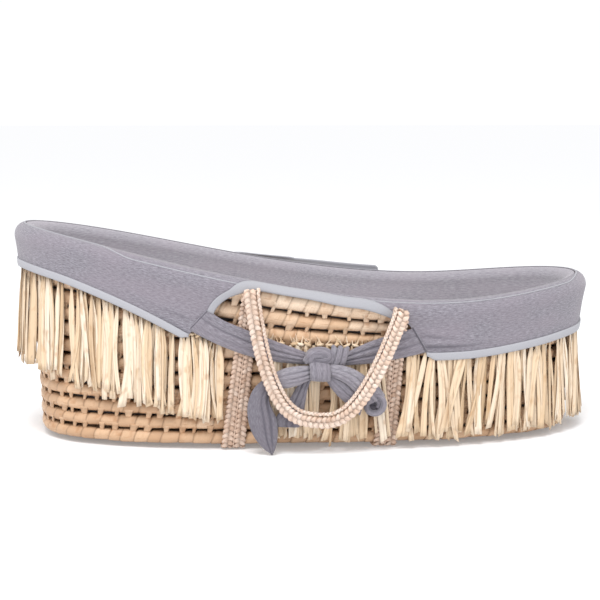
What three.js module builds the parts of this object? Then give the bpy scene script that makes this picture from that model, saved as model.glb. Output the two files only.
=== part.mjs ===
// A moses basket: a long oval cradle of coiled palm leaf with two plaited handles, a removable jersey cover
// whose skirt turns down over the rim, a bow on each long side, a raffia fringe and a loose mattress.
// Millimetres. +X runs from the raised head end (at -X) to the foot, +Y to the rear side, +Z up.
// The origin is on the floor under the middle of the basket.
import * as THREE from "three";

// Driving dimensions
const TOP_LENGTH = 840; // over the cover, at the rim
const TOP_WIDTH = 428;
const FLARE = 30; // how far the wall leans out between base and rim
const FOOT_WIDER = 0.03; // share by which the foot end is wider than the middle
const BASE_Z = 5; // underside of the coils; the straps below them meet the floor
const RIM_LOW = 202; // top of the cover at its lowest
const RIM_LOW_X = 180;
const HEAD_RISE = 100;
const FOOT_RISE = 22;

// Coils
const COIL_HALF = 10.5; // half the thickness of the wall
const RIM_COIL_HALF = 12;
const RIM_COIL_HEIGHT = 27;
const LOWER_ROWS = 6;
const LOWER_PITCH = 20;
const MIDDLE_ROWS = 3; // full rows between the level rows and the rim coil
const SHORT_ROWS = [18, 27, 36]; // degrees past mid length where each extra head row starts
const SHORT_RAMP = 20; // degrees over which a short row swells to full height
const ROW_GAP = 0.3; // kept at the top and at the bottom of each row
const STATIONS = 40;

// Cover
const CLOTH = 2.5;
const CLOTH_GAP = 1;
const COVER_OVER_RIM = CLOTH + CLOTH_GAP;
const BINDING_HEIGHT = 10;
const BINDING_THICK = 3.4;
const SKIRT_OFF_FRINGE = 4.5;
const ABOVE_RIM = 999; // a height at which the wall has the rim's own oval
const GAP = 0.5;

// Straps and handles
const STRAPS = [
  { name: "head_strap", lowX: -113, highX: -88 }, // middle of the strap under the basket and at the rim
  { name: "foot_strap", lowX: 94.5, highX: 109 },
];
const STRAP_PLAIT_WIDTH = 15.5; // where a strap is flattened under the basket
const PLAIT_WIDTH = 13; // at the rim and along a handle
const PLAIT_THICK = 7.5;
const PLAITS_APART = 0.8; // between a strap's two plaits
const HANDLE_DROP = 159; // from the hinge line to the middle of the outer plait
const HANDLE_FULLNESS = { head: 2.4, foot: 3.1 }; // 2 is a parabola, and more hangs squarer
const HANDLE_INNER_WIDTH = 8;
const HINGE_Y = 223;
const HINGE_BELOW_RIM = 15.5;

// Fringe
const FRINGE_THICK = 5;
const FRINGE_OFF = COIL_HALF + 1;
const FRINGE_LOW = 18; // height of its ends above the floor, and how much higher they are at the head
const FRINGE_RISE = 106;

// Mattress
const MATTRESS = { halfLength: 350, halfWidth: 145, z: 25.5, height: 32 };
const FLOOR_PANEL = { halfLength: 356, halfWidth: 150 };

const RIM_HALF_LENGTH = TOP_LENGTH / 2 - RIM_COIL_HALF - COVER_OVER_RIM - GAP;
const RIM_HALF_WIDTH = TOP_WIDTH / 2 - RIM_COIL_HALF - COVER_OVER_RIM - GAP;
const LOWER_TOP = BASE_Z + LOWER_ROWS * LOWER_PITCH;
const FRONT = -1;
const REAR = 1;
const DEG = Math.PI / 180;

const palm = new THREE.MeshStandardMaterial({ color: 0xd3b192, roughness: 0.75, metalness: 0 });
const plait = new THREE.MeshStandardMaterial({ color: 0xdbbfa6, roughness: 0.7, metalness: 0 });
const raffia = new THREE.MeshStandardMaterial({ color: 0xe3cb9f, roughness: 0.6, metalness: 0 });
const jersey = new THREE.MeshStandardMaterial({ color: 0xa39ba5, roughness: 0.95, metalness: 0 });
const tape = new THREE.MeshStandardMaterial({ color: 0xcccace, roughness: 0.8, metalness: 0 });
const ticking = new THREE.MeshStandardMaterial({ color: 0xf1eee7, roughness: 0.9, metalness: 0 });

const clamp01 = (s) => Math.min(1, Math.max(0, s));
const lerp = (a, b, s) => a + (b - a) * s;
const ease = (s) => s * s * (2 - s);
const power = (value, exponent) => Math.sign(value) * Math.abs(value) ** exponent;

// ---- The basket's form ----

// Height of the top of the cover along the basket.
function rimTop(x) {
  const half = TOP_LENGTH / 2;
  if (x < RIM_LOW_X) return RIM_LOW + HEAD_RISE * ease(clamp01((RIM_LOW_X - x) / (RIM_LOW_X + half)));
  return RIM_LOW + FOOT_RISE * ease(clamp01((x - RIM_LOW_X) / (half - RIM_LOW_X)));
}

// Top of the rim coil at an angle round the basket: 0 at the foot end, 90 degrees at the rear.
const coilTop = (t) => rimTop(RIM_HALF_LENGTH * Math.cos(t)) - COVER_OVER_RIM;

// The oval of the wall's middle at a share v of the wall's height.
function oval(v) {
  const lean = FLARE * (clamp01(v) ** 1.7 - 1);
  return { a: RIM_HALF_LENGTH + lean, b: RIM_HALF_WIDTH + lean, n: lerp(2.7, 2, clamp01(v)) };
}

// A point at an angle, a height and a distance outwards from the wall's middle.
function wallPoint(t, z, out = 0) {
  const { a, b, n } = oval(z / coilTop(t));
  const x = a * power(Math.cos(t), 2 / n);
  const wide = b * (1 + FOOT_WIDER * (x / a));
  const y = wide * power(Math.sin(t), 2 / n);
  const normal = new THREE.Vector2(power(x / a, n - 1) / a, power(y / wide, n - 1) / wide).normalize();
  return [x + normal.x * out, y + normal.y * out, z];
}

// The angle at which the wall stands at x, on the front or the rear side.
function angleAt(x, z, side) {
  let t = Math.acos(THREE.MathUtils.clamp(x / RIM_HALF_LENGTH, -1, 1));
  for (let pass = 0; pass < 3; pass++) {
    const { a, n } = oval(z / coilTop(t));
    t = Math.acos(power(THREE.MathUtils.clamp(x / a, -1, 1), n / 2));
  }
  return side === REAR ? t : 2 * Math.PI - t;
}
const wallAtX = (x, z, out, side) => wallPoint(angleAt(x, z, side), z, out);

const stations = (from, to, count) => Array.from({ length: count + 1 }, (_, i) => lerp(from, to, i / count));
const allRound = stations(0, 2 * Math.PI, STATIONS).slice(0, STATIONS);

// How much of a short row there is at an angle: 0 towards the foot, 1 at the head.
function shortShare(t, start) {
  const pastMiddle = 90 - Math.abs(t / DEG - 180);
  return clamp01((pastMiddle - start) / SHORT_RAMP);
}

// Bottom and top of every row at an angle, from the floor up: level rows, then middle rows with the short
// rows between them, then the rim coil.
function rowLevels(t) {
  const shares = SHORT_ROWS.flatMap((start) => [1, shortShare(t, start)]);
  const rimBottom = coilTop(t) - RIM_COIL_HEIGHT;
  const unit = (rimBottom - LOWER_TOP) / shares.reduce((sum, share) => sum + share, 0);
  const levels = stations(BASE_Z, LOWER_TOP, LOWER_ROWS);
  shares.forEach((share) => levels.push(levels[levels.length - 1] + share * unit));
  levels.push(coilTop(t));
  return { levels, unit };
}

// ---- Solids ----

// A closed solid through matching rings of points. A loop joins the last ring to the first; otherwise both
// ends are capped, each point of a ring's first half with its partner in the second half.
function loft(rings, loop = false) {
  const points = [];
  const face = (a, b, c) => points.push(...a, ...b, ...c);
  const quad = (a, b, c, d) => {
    face(a, b, c);
    face(a, c, d);
  };
  const sides = rings[0].length;
  for (let i = 0; i < rings.length - (loop ? 0 : 1); i++) {
    const here = rings[i];
    const next = rings[(i + 1) % rings.length];
    for (let k = 0; k < sides; k++) {
      quad(here[k], here[(k + 1) % sides], next[(k + 1) % sides], next[k]);
    }
  }
  if (!loop) {
    const [first, last] = [rings[0], rings[rings.length - 1]];
    for (let k = 0; k + 1 < sides / 2; k++) {
      quad(first[k], first[sides - 1 - k], first[sides - 2 - k], first[k + 1]);
      quad(last[k], last[k + 1], last[sides - 2 - k], last[sides - 1 - k]);
    }
  }
  const geometry = new THREE.BufferGeometry();
  geometry.setAttribute("position", new THREE.Float32BufferAttribute(facingOut(points), 3));
  geometry.computeVertexNormals();
  return geometry;
}

// The same triangles, turned round if they enclose a negative volume.
function facingOut(points) {
  let volume = 0;
  for (let i = 0; i < points.length; i += 9) {
    const [a, b, c] = [0, 3, 6].map((k) => new THREE.Vector3(...points.slice(i + k, i + k + 3)));
    volume += a.dot(b.cross(c));
  }
  if (volume >= 0) return points;
  const turned = [];
  for (let i = 0; i < points.length; i += 9) {
    turned.push(...points.slice(i, i + 3), ...points.slice(i + 6, i + 9), ...points.slice(i + 3, i + 6));
  }
  return turned;
}

const root = new THREE.Group();
function add(name, geometry, material, parent = root) {
  const mesh = new THREE.Mesh(geometry, material);
  mesh.name = name;
  parent.add(mesh);
  return mesh;
}

// ---- Palm-leaf body ----

// Six-sided section of a coil row, flat on top and underneath.
function coilSection(t, bottom, top, half) {
  const middle = (bottom + top) / 2;
  const flat = half * 0.5;
  const corner = (out, z) => {
    const [x, y] = wallPoint(t, middle, out);
    return [x, y, z];
  };
  return [
    corner(-flat, bottom),
    corner(-half, middle),
    corner(-flat, top),
    corner(flat, top),
    corner(half, middle),
    corner(flat, bottom),
  ];
}

function fullRow(index, half) {
  return loft(
    allRound.map((t) => {
      const { levels } = rowLevels(t);
      return coilSection(t, levels[index] + ROW_GAP, levels[index + 1] - ROW_GAP, half);
    }),
    true,
  );
}

// A short row starts as a blunt wedge between two stations and ends the same way on the other side.
function shortRow(index, startDegrees) {
  const wedge = 0.4;
  const section = (t) => {
    const { levels } = rowLevels(t);
    return coilSection(t, levels[index] + ROW_GAP, levels[index + 1] - ROW_GAP, COIL_HALF - 0.4);
  };
  const inside = allRound.filter((t) => shortShare(t, startDegrees) > 0.01);
  const step = allRound[1];
  const mix = (a, b) => a.map((value, axis) => lerp(value, b[axis], wedge));
  const between = (p, q) => p.map((point, k) => mix(point, q[k]));
  const rings = inside.map(section);
  const [first, last] = [inside[0], inside[inside.length - 1]];
  const headWedge = between(section(first - step), rings[0]);
  const tailWedge = between(section(last + step), rings[rings.length - 1]);
  return loft([headWedge, ...rings, tailWedge]);
}

function addWallRows() {
  for (let i = 0; i < LOWER_ROWS; i++) add(`wall_coil_0${i + 1}`, fullRow(i, COIL_HALF), palm);
  for (let i = 0; i < MIDDLE_ROWS; i++) {
    const index = LOWER_ROWS + 2 * i;
    add(`wall_coil_0${LOWER_ROWS + i + 1}`, fullRow(index, COIL_HALF), palm);
    add(`head_short_coil_${i + 1}`, shortRow(index + 1, SHORT_ROWS[i]), palm);
  }
  add("rim_coil", fullRow(LOWER_ROWS + 2 * MIDDLE_ROWS, RIM_COIL_HALF), palm);
}

// The base is one coil, wound inwards from the lowest wall row to a straight middle. It tapers to a point
// where it meets that row, so its first turn closes the oval.
function addBase() {
  const height = 16;
  const pitch = 20.5;
  const turns = 7.5;
  const gap = 3;
  const start = 0.3;
  const outer = oval(0);
  const perTurn = 24;
  const wallInset = COIL_HALF + 4;
  const corner = (t, inset, dz) => {
    const [a, b] = [outer.a - inset, outer.b - inset];
    const n = lerp(2, outer.n, b / outer.b);
    return [a * power(Math.cos(t), 2 / n), b * power(Math.sin(t), 2 / n), BASE_Z + GAP + dz];
  };
  const rings = stations(start, turns, Math.round((turns - start) * perTurn)).map((turn) => {
    const t = turn * 2 * Math.PI;
    const near = wallInset + pitch * Math.max(0, turn - 1);
    const far = wallInset + pitch * turn - gap;
    return [corner(t, far, 0), corner(t, far, height), corner(t, near, height), corner(t, near, 0)];
  });
  add("base_spiral", loft(rings), palm);
}

// ---- Straps and handles ----

// A strap passes up one side from under the base to the rim and down the other, two plaits side by side.
// which is -1 for the plait nearer the head and 1 for the other.
function strapPlait({ lowX, highX }, which) {
  const top = rimTop(highX) - HINGE_BELOW_RIM - 6;
  const ring = (z, out, thick, side) => {
    const share = z / top;
    const half = lerp(STRAP_PLAIT_WIDTH, PLAIT_WIDTH, share) / 2;
    const x = lerp(lowX, highX, share) + which * (half + PLAITS_APART / 2);
    const [, inner] = wallAtX(x, z, out, side);
    const [, outer] = wallAtX(x, z, out + thick, side);
    return { x, half, inner: [inner, z], outer: [outer, z] };
  };
  const against = COIL_HALF + 1.2;
  const climb = (side) => [
    ...[16, 45, 85, 125, 160, top - 16].map((z) => ring(z, against, PLAIT_THICK, side)),
    ring(top - 7, 17.8, PLAIT_THICK, side),
    ring(top, 18.6, PLAIT_THICK, side),
  ];
  // Round the bottom edge of the basket: a distance out from the wall and a height for each face.
  const bend = (inner, outer, side) => {
    const place = ([out, z]) => [wallAtX(lowX, 0, out, side)[1], z];
    return { ...ring(0, 0, 0, side), inner: place(inner), outer: place(outer) };
  };
  const under = (side) => [bend([7, 4.4], [10, 0], side), bend([10.5, 10], [17, 4.5], side)];
  const path = [
    ...climb(FRONT).reverse(),
    ...under(FRONT).reverse(),
    ...under(REAR),
    ...climb(REAR),
  ];
  return loft(
    path.map(({ x, half, inner, outer }) => [
      [x - half, ...inner],
      [x - half, ...outer],
      [x + half, ...outer],
      [x + half, ...inner],
    ]),
  );
}

function addStraps() {
  for (const strap of STRAPS) {
    add(`${strap.name}_plait_1`, strapPlait(strap, -1), plait);
    add(`${strap.name}_plait_2`, strapPlait(strap, 1), plait);
  }
}

// The line that a handle swings about, from its head end to its foot end, at the rim's outer edge.
const hingeEnds = STRAPS.map(({ highX }) => {
  return new THREE.Vector3(highX, -HINGE_Y, rimTop(highX) - HINGE_BELOW_RIM);
});
const hingeMiddle = hingeEnds[0].clone().lerp(hingeEnds[1], 0.5);
const hingeTilt = Math.atan2(hingeEnds[0].z - hingeEnds[1].z, hingeEnds[1].x - hingeEnds[0].x);

// One plait of a handle, hanging from the hinge line in an arch. inset moves it in from the outer plait.
function handlePlait(inset, width, thick) {
  const span = hingeEnds[0].distanceTo(hingeEnds[1]) / 2 + 5;
  const half = width / 2;
  const rings = stations(-1, 1, 28).map((u) => {
    const s = Math.sin((u * Math.PI) / 2) * 0.35 + u * 0.65;
    const n = s < 0 ? HANDLE_FULLNESS.head : HANDLE_FULLNESS.foot;
    const slope = new THREE.Vector2(span, HANDLE_DROP * n * power(s, n - 1)).normalize();
    const [x, z] = [span * s - slope.y * inset, -HANDLE_DROP * (1 - Math.abs(s) ** n) + slope.x * inset];
    const at = (across, y) => [x - slope.y * across, y, z + slope.x * across];
    return [at(-half, -thick / 2), at(half, -thick / 2), at(half, thick / 2), at(-half, thick / 2)];
  });
  return loft(rings);
}

function addHandle(name, side) {
  const mirrored = new THREE.Group();
  mirrored.scale.y = side === REAR ? -1 : 1;
  const hinge = new THREE.Group();
  hinge.position.copy(hingeMiddle);
  hinge.rotation.y = hingeTilt;
  mirrored.add(hinge);
  root.add(mirrored);
  const inset = (PLAIT_WIDTH + HANDLE_INNER_WIDTH) / 2 + 0.5;
  add(`${name}_outer_plait`, handlePlait(0, PLAIT_WIDTH, PLAIT_THICK), plait, hinge);
  add(`${name}_inner_plait`, handlePlait(inset, HANDLE_INNER_WIDTH, PLAIT_THICK), plait, hinge);
}

// ---- Cover ----

// Where the outer part of the cover opens for a handle: the x of its two ends, their drop below the rim top,
// and the x where its edge has curved round on to the rim.
const OPENING = { head: -143.5, headDrop: 49, foot: 126, footDrop: 37, headTurn: -75, footTurn: 50 };
const OPENING_CURVE = 0.62; // 0.5 would be a quarter of an ellipse
const EDGE_DROP = 4; // of the tape's upper edge on the rim, inside the opening
// Lower corners of the two skirts, and the drop that their lower edges come to at the ends of the basket.
const SEAM_HEAD = { x: -168, drop: 97, endDrop: 58 };
const SEAM_FOOT = { x: 147, drop: 81, endDrop: 77 };

// Drop of the cover cloth's lower edge below the rim top, above its tape.
function clothDrop(x) {
  if (x <= SEAM_HEAD.x) {
    const s = clamp01((SEAM_HEAD.x - x) / (RIM_HALF_LENGTH + SEAM_HEAD.x));
    return lerp(SEAM_HEAD.endDrop, SEAM_HEAD.drop, (1 - s) ** 2) - BINDING_HEIGHT;
  }
  if (x <= OPENING.head) {
    const s = (x - SEAM_HEAD.x) / (OPENING.head - SEAM_HEAD.x);
    return lerp(SEAM_HEAD.drop - BINDING_HEIGHT, OPENING.headDrop, s);
  }
  if (x >= SEAM_FOOT.x) {
    const s = clamp01((x - SEAM_FOOT.x) / (RIM_HALF_LENGTH - SEAM_FOOT.x));
    return lerp(SEAM_FOOT.drop, SEAM_FOOT.endDrop, s) - BINDING_HEIGHT;
  }
  if (x >= OPENING.foot) {
    const s = (x - OPENING.foot) / (SEAM_FOOT.x - OPENING.foot);
    return lerp(OPENING.footDrop, SEAM_FOOT.drop - BINDING_HEIGHT, s);
  }
  const curve = (s) => (1 - (1 - clamp01(s)) ** 2) ** OPENING_CURVE;
  const headShare = curve((x - OPENING.head) / (OPENING.headTurn - OPENING.head));
  const footShare = curve((OPENING.foot - x) / (OPENING.foot - OPENING.footTurn));
  return Math.max(
    lerp(OPENING.headDrop, EDGE_DROP, headShare),
    lerp(OPENING.footDrop, EDGE_DROP, footShare),
  );
}

// A point of the cover on the outside of the rim coil, at a drop below the top of the cover.
function rimSkin(t, drop, lift) {
  const middle = coilTop(t) - RIM_COIL_HEIGHT / 2;
  const rise = RIM_COIL_HEIGHT / 2 + COVER_OVER_RIM - drop;
  const slope = clamp01(rise / (RIM_COIL_HEIGHT / 2 + CLOTH_GAP));
  const out = lerp(RIM_COIL_HALF + CLOTH_GAP, RIM_COIL_HALF / 2 + CLOTH_GAP / 2, slope);
  const [x, y] = wallPoint(t, middle, out + lift);
  return [x, y, middle + rise];
}

// The lining covers the inside of the wall and turns over the rim: as far as the middle of the rim coil's
// outside or, where the cover is open for a handle, only over its top.
function addLining() {
  const rings = allRound.map((t) => {
    const x = wallPoint(t, coilTop(t))[0];
    const open = x > OPENING.head + 8 && x < OPENING.foot + 14;
    const low = BASE_Z + 22;
    const top = coilTop(t);
    const middle = top - RIM_COIL_HEIGHT / 2;
    const at = (out, z) => {
      const [px, py] = wallPoint(t, Math.min(z, middle), out);
      return [px, py, z];
    };
    const endDrop = open ? COVER_OVER_RIM : RIM_COIL_HEIGHT / 2 + COVER_OVER_RIM - 1;
    const flat = RIM_COIL_HALF / 2 + CLOTH_GAP / 2;
    const wall = [low, lerp(low, top, 0.35), lerp(low, top, 0.68)];
    const side = COIL_HALF + CLOTH_GAP;
    const inner = wall.map((z) => at(-side, z));
    inner.push(at(-RIM_COIL_HALF - CLOTH_GAP, middle), at(-flat, top + CLOTH_GAP), at(flat, top + CLOTH_GAP));
    inner.push(rimSkin(t, endDrop, 0));
    const outer = wall.map((z) => at(-side - CLOTH, z));
    outer.push(at(-RIM_COIL_HALF - CLOTH_GAP - CLOTH, middle), at(-flat - 1, top + COVER_OVER_RIM));
    outer.push(at(flat + 1, top + COVER_OVER_RIM), rimSkin(t, endDrop, CLOTH));
    return [...inner, ...outer.reverse()];
  });
  add("cover_lining", loft(rings, true), jersey);
}

// A sheet of the cover between two drops below the rim top, at one angle.
function hangSection(t, fromDrop, toDrop, lift, thick) {
  const top = coilTop(t) + COVER_OVER_RIM;
  const start = RIM_COIL_HEIGHT / 2 + COVER_OVER_RIM + 0.5;
  const drops = [fromDrop, lerp(fromDrop, toDrop, 0.5), toDrop];
  const atRim = RIM_COIL_HALF + CLOTH_GAP + 0.4;
  const overFringe = COIL_HALF + FRINGE_THICK + SKIRT_OFF_FRINGE;
  const outAt = (drop) => lerp(atRim, overFringe, clamp01((drop - start) / 40));
  const inner = drops.map((drop) => wallPoint(t, top - drop, outAt(drop) + lift));
  const outer = drops.map((drop) => wallPoint(t, top - drop, outAt(drop) + lift + thick));
  return [...inner, ...outer.reverse()];
}

// Angles from one side's x round an end to the other side's x, with extra ones for the shaped corners.
function roundEnd(xs, end) {
  const clear = 0.04; // radians kept between a station and a corner
  const front = xs.map((x) => angleAt(x, ABOVE_RIM, FRONT));
  const rear = xs.map((x) => angleAt(x, ABOVE_RIM, REAR));
  const last = front[front.length - 1];
  const first = rear[rear.length - 1];
  if (end === "head") {
    const between = allRound.filter((t) => t > first + clear && t < last - clear);
    return [...rear, ...between, ...front.reverse()];
  }
  const low = last - 2 * Math.PI;
  const wrapped = allRound.map((t) => (t > Math.PI ? t - 2 * Math.PI : t)).sort((p, q) => p - q);
  const between = wrapped.filter((t) => t > low + clear && t < first - clear);
  return [...front.map((t) => t - 2 * Math.PI), ...between, ...rear.reverse()];
}
const turn = (t) => (t < 0 ? t + 2 * Math.PI : t);
const xOf = (t) => wallPoint(turn(t), coilTop(turn(t)))[0];

function addSkirt(name, xs, end) {
  const start = RIM_COIL_HEIGHT / 2 + COVER_OVER_RIM + 0.5;
  const lowest = (t) => Math.max(start + 3, clothDrop(xOf(t)));
  const rings = roundEnd(xs, end).map((t) => hangSection(turn(t), start, lowest(t), 0, CLOTH));
  add(`${name}_skirt`, loft(rings), jersey);
}

function addSkirtTape(name, xs, end) {
  const rings = roundEnd(xs, end).map((t) => {
    const drop = clothDrop(xOf(t)) + GAP;
    return hangSection(turn(t), drop, drop + BINDING_HEIGHT - GAP, -0.4, BINDING_THICK);
  });
  add(`${name}_skirt_tape`, loft(rings), tape);
}

// The tape round a handle opening lies on the rim coil and runs down the curved corners at both ends.
function addOpeningTape(name, side) {
  const xs = [-136, -130, -122, -110, -95, -70, -30, 15, 50, 80, 94, 104];
  const rings = xs.map((x) => {
    const t = angleAt(x, ABOVE_RIM, side);
    const drops = [0, 1 / 3, 2 / 3, 1].map((s) => clothDrop(x) + lerp(GAP, BINDING_HEIGHT, s));
    const inner = drops.map((below) => rimSkin(t, below, 0.3));
    const outer = drops.map((below) => rimSkin(t, below, BINDING_THICK - 0.4));
    return [...inner, ...outer.reverse()];
  });
  add(`${name}_opening_tape`, loft(rings), tape);
}

// A flat oval panel, for the cover's floor and the mattress.
function ovalPanel(halfLength, halfWidth, height, bevel) {
  const { n } = oval(0);
  const outline = allRound.map((t) => new THREE.Vector2(
    (halfLength - bevel) * power(Math.cos(t), 2 / n),
    (halfWidth - bevel) * power(Math.sin(t), 2 / n),
  ));
  return new THREE.ExtrudeGeometry(new THREE.Shape(outline), {
    depth: height - 2 * bevel,
    bevelEnabled: bevel > 0,
    bevelThickness: bevel,
    bevelSize: bevel,
    bevelSegments: 1,
  });
}

function addCover() {
  addLining();
  const panel = ovalPanel(FLOOR_PANEL.halfLength, FLOOR_PANEL.halfWidth, CLOTH, 0);
  add("cover_floor", panel, jersey).position.z = MATTRESS.z - CLOTH - GAP;
  addSkirt("head", [OPENING.head - 3, SEAM_HEAD.x], "head");
  addSkirt("foot", [OPENING.foot + 6, SEAM_FOOT.x], "foot");
  addSkirtTape("head", [SEAM_HEAD.x, SEAM_HEAD.x - 15], "head");
  addSkirtTape("foot", [SEAM_FOOT.x, SEAM_FOOT.x + 15], "foot");
  addOpeningTape("front", FRONT);
  addOpeningTape("rear", REAR);
}

// ---- Ties and bows ----

// A tie runs from the end of a skirt to the bow, narrowing as it is drawn together.
// Each step is [x of its upper edge, its z, x of its lower edge, its z, distance out from the wall].
const TIES = {
  head: [
    [-142, 193.5, -165, 168, 20],
    [-125.5, 181, -126, 147, 21],
    [-104, 172, -104, 138, 21.2],
    [-63, 155, -60, 126, 21.2],
    [-21, 139, -21, 123, 21.4],
  ],
  foot: [
    [125.5, 165, 140.5, 137, 20.8],
    [111.5, 163, 109, 128, 21],
    [90, 156, 86, 124, 21.6],
    [62, 147.5, 60, 121, 22.2],
    [26, 134, 26, 117, 23],
  ],
};

function tie(steps) {
  const thick = 3.4;
  return loft(
    steps.map(([xTop, zTop, xLow, zLow, out]) => [
      wallAtX(xLow, zLow, out, FRONT),
      wallAtX(xTop, zTop, out, FRONT),
      wallAtX(xTop, zTop, out + thick, FRONT),
      wallAtX(xLow, zLow, out + thick, FRONT),
    ]),
  );
}

// A plump lump of cloth: an ellipsoid with its half sizes along x, y and z.
function lump(x, y, z) {
  return new THREE.SphereGeometry(1, 12, 8).scale(x, y, z);
}

const BOW_Y = -211.4; // middle of the bow, between the fringe and the hanging handle
const BOW_HALF = 6.6;

function addBow(name, side) {
  const group = new THREE.Group();
  group.scale.y = side === REAR ? -1 : 1;
  root.add(group);
  const put = (part, geometry, x, z, turned = 0) => {
    const mesh = add(`${name}_${part}`, geometry, jersey, group);
    mesh.position.set(x, BOW_Y, z);
    mesh.rotation.y = turned;
  };
  add(`${name}_tie_head`, tie(TIES.head), jersey, group);
  add(`${name}_tie_foot`, tie(TIES.foot), jersey, group);
  put("tie_crossing", lump(18, BOW_HALF, 8.5), 1, 134.5);
  put("bow_knot", lump(14, BOW_HALF, 12.5), 3, 113);
  put("bow_loop_head", lump(20, BOW_HALF, 11.5), -32.5, 104, -8 * DEG);
  put("bow_loop_foot", lump(27, BOW_HALF, 11), 39, 93, 40 * DEG);
  const curl = new THREE.CylinderGeometry(20, 20, 2 * BOW_HALF, 12);
  put("bow_tail_foot", curl, 78, 64);
  const outline = [
    [4, 0], [-14, -3], [-30, -25], [-31, -48], [-20, -74], [-8, -92], [0, -94], [4, -72], [9, -48], [9, -22],
  ];
  const tail = new THREE.Shape(outline.map(([x, y]) => new THREE.Vector2(x, y)));
  const flat = new THREE.ExtrudeGeometry(tail, { depth: 2 * BOW_HALF, bevelEnabled: false });
  flat.rotateX(Math.PI / 2).translate(0, BOW_HALF, 0);
  put("bow_tail_head", flat, -62, 96);
}

// ---- Fringe ----

// The fringe is knotted on under the third row below the rim and hangs straight down, longest at the head.
function addFringe(name, angles) {
  const rings = angles.map((t) => {
    const { unit } = rowLevels(turn(t));
    const top = coilTop(turn(t)) - RIM_COIL_HEIGHT - 2 * unit;
    const [x] = wallPoint(turn(t), top);
    const bottom = FRINGE_LOW + FRINGE_RISE * clamp01(-x / RIM_HALF_LENGTH);
    const [x0, y0] = wallPoint(turn(t), top, FRINGE_OFF);
    const [x1, y1] = wallPoint(turn(t), top, FRINGE_OFF + FRINGE_THICK);
    const [x2, y2] = wallPoint(turn(t), top, FRINGE_OFF + 3);
    const [x3, y3] = wallPoint(turn(t), top, FRINGE_OFF + FRINGE_THICK + 3);
    return [[x2, y2, bottom], [x0, y0, top], [x1, y1, top], [x3, y3, bottom]];
  });
  add(`fringe_${name}`, loft(rings), raffia);
}

function addFringes() {
  addFringe("head", roundEnd([-120, -150], "head"));
  addFringe("foot", roundEnd([130, 160], "foot"));
  const along = stations(-74, 84, 6);
  addFringe("front", along.map((x) => angleAt(x, 145, FRONT)));
  addFringe("rear", along.map((x) => angleAt(x, 145, REAR)));
}

// ---- Mattress ----

function addMattress() {
  const mattress = ovalPanel(MATTRESS.halfLength, MATTRESS.halfWidth, MATTRESS.height, 8);
  add("mattress", mattress, ticking).position.z = MATTRESS.z + 8;
}

addWallRows();
addBase();
addStraps();
addHandle("front_handle", FRONT);
addHandle("rear_handle", REAR);
addCover();
addBow("front", FRONT);
addBow("rear", REAR);
addFringes();
addMattress();

export default root;
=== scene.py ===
"""Looks of the moses basket: coiled palm body, plaited straps and handles, raffia fringe, cover and bows.

Everything is worked out in millimetres in the frame's axes and turned into metres when a mesh is made.
"""
import math

import bpy
import numpy as np
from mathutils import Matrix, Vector


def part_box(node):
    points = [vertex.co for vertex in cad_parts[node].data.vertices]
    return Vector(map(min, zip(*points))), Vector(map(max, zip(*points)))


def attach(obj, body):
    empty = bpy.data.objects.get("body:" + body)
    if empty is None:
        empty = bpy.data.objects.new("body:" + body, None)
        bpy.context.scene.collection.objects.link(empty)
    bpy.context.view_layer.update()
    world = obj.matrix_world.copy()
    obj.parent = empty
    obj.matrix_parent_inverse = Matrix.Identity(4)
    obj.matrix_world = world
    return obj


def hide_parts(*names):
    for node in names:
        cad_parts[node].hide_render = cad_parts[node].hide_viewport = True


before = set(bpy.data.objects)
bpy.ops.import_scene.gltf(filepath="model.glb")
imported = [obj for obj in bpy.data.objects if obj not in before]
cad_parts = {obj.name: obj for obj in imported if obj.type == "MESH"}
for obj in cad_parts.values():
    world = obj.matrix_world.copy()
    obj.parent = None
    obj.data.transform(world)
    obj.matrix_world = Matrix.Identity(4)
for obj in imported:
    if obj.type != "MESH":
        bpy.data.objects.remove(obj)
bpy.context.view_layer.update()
MM = 0.001
FRONT, REAR = -1, 1
rng = np.random.default_rng(7)


# ---- The basket's form, as in the CAD part ----

def node_box(node):
    """Corners of a CAD node's box in millimetres."""
    low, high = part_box(node)
    return np.array(low) / MM, np.array(high) / MM


TOP_LENGTH, TOP_WIDTH = 840, 428
FLARE = 30
FOOT_WIDER = 0.03
BASE_Z = 5
RIM_LOW, RIM_LOW_X, HEAD_RISE, FOOT_RISE = 202, 180, 100, 22
COIL_HALF = 10.5
RIM_COIL_HALF, RIM_COIL_HEIGHT = 12, 27
LOWER_ROWS, LOWER_PITCH, MIDDLE_ROWS = 6, 20, 3
SHORT_ROWS, SHORT_RAMP = [18, 27, 36], 20
OVER_RIM = 3.5
RIM_HALF_LENGTH = TOP_LENGTH / 2 - RIM_COIL_HALF - OVER_RIM - 0.5
RIM_HALF_WIDTH = TOP_WIDTH / 2 - RIM_COIL_HALF - OVER_RIM - 0.5
LOWER_TOP = BASE_Z + LOWER_ROWS * LOWER_PITCH
BASE_SQUARENESS, RIM_SQUARENESS = 2.7, 2.0  # exponents of the oval; 2 is an ellipse
ABOVE_RIM = 900  # any height over the rim stands for the rim's outline
FLOOR_Z = 25  # top of the cover's floor, under the mattress
STRAPS = {"head_strap": (-113, -88), "foot_strap": (94.5, 109)}  # x under the basket and at the rim
HINGE_Y, HINGE_BELOW_RIM = -223.0, 15.5
HANDLE_DROP = 159
HANDLE_FULLNESS = (2.4, 3.1)  # towards the head and towards the foot; 2 is a parabola


def ease(s):
    """From 0 to 1, starting level and ending on a slope."""
    return s * s * (2 - s)


def smooth(s):
    """From 0 to 1, level at both ends."""
    s = np.clip(s, 0, 1)
    return s * s * (3 - 2 * s)


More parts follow.
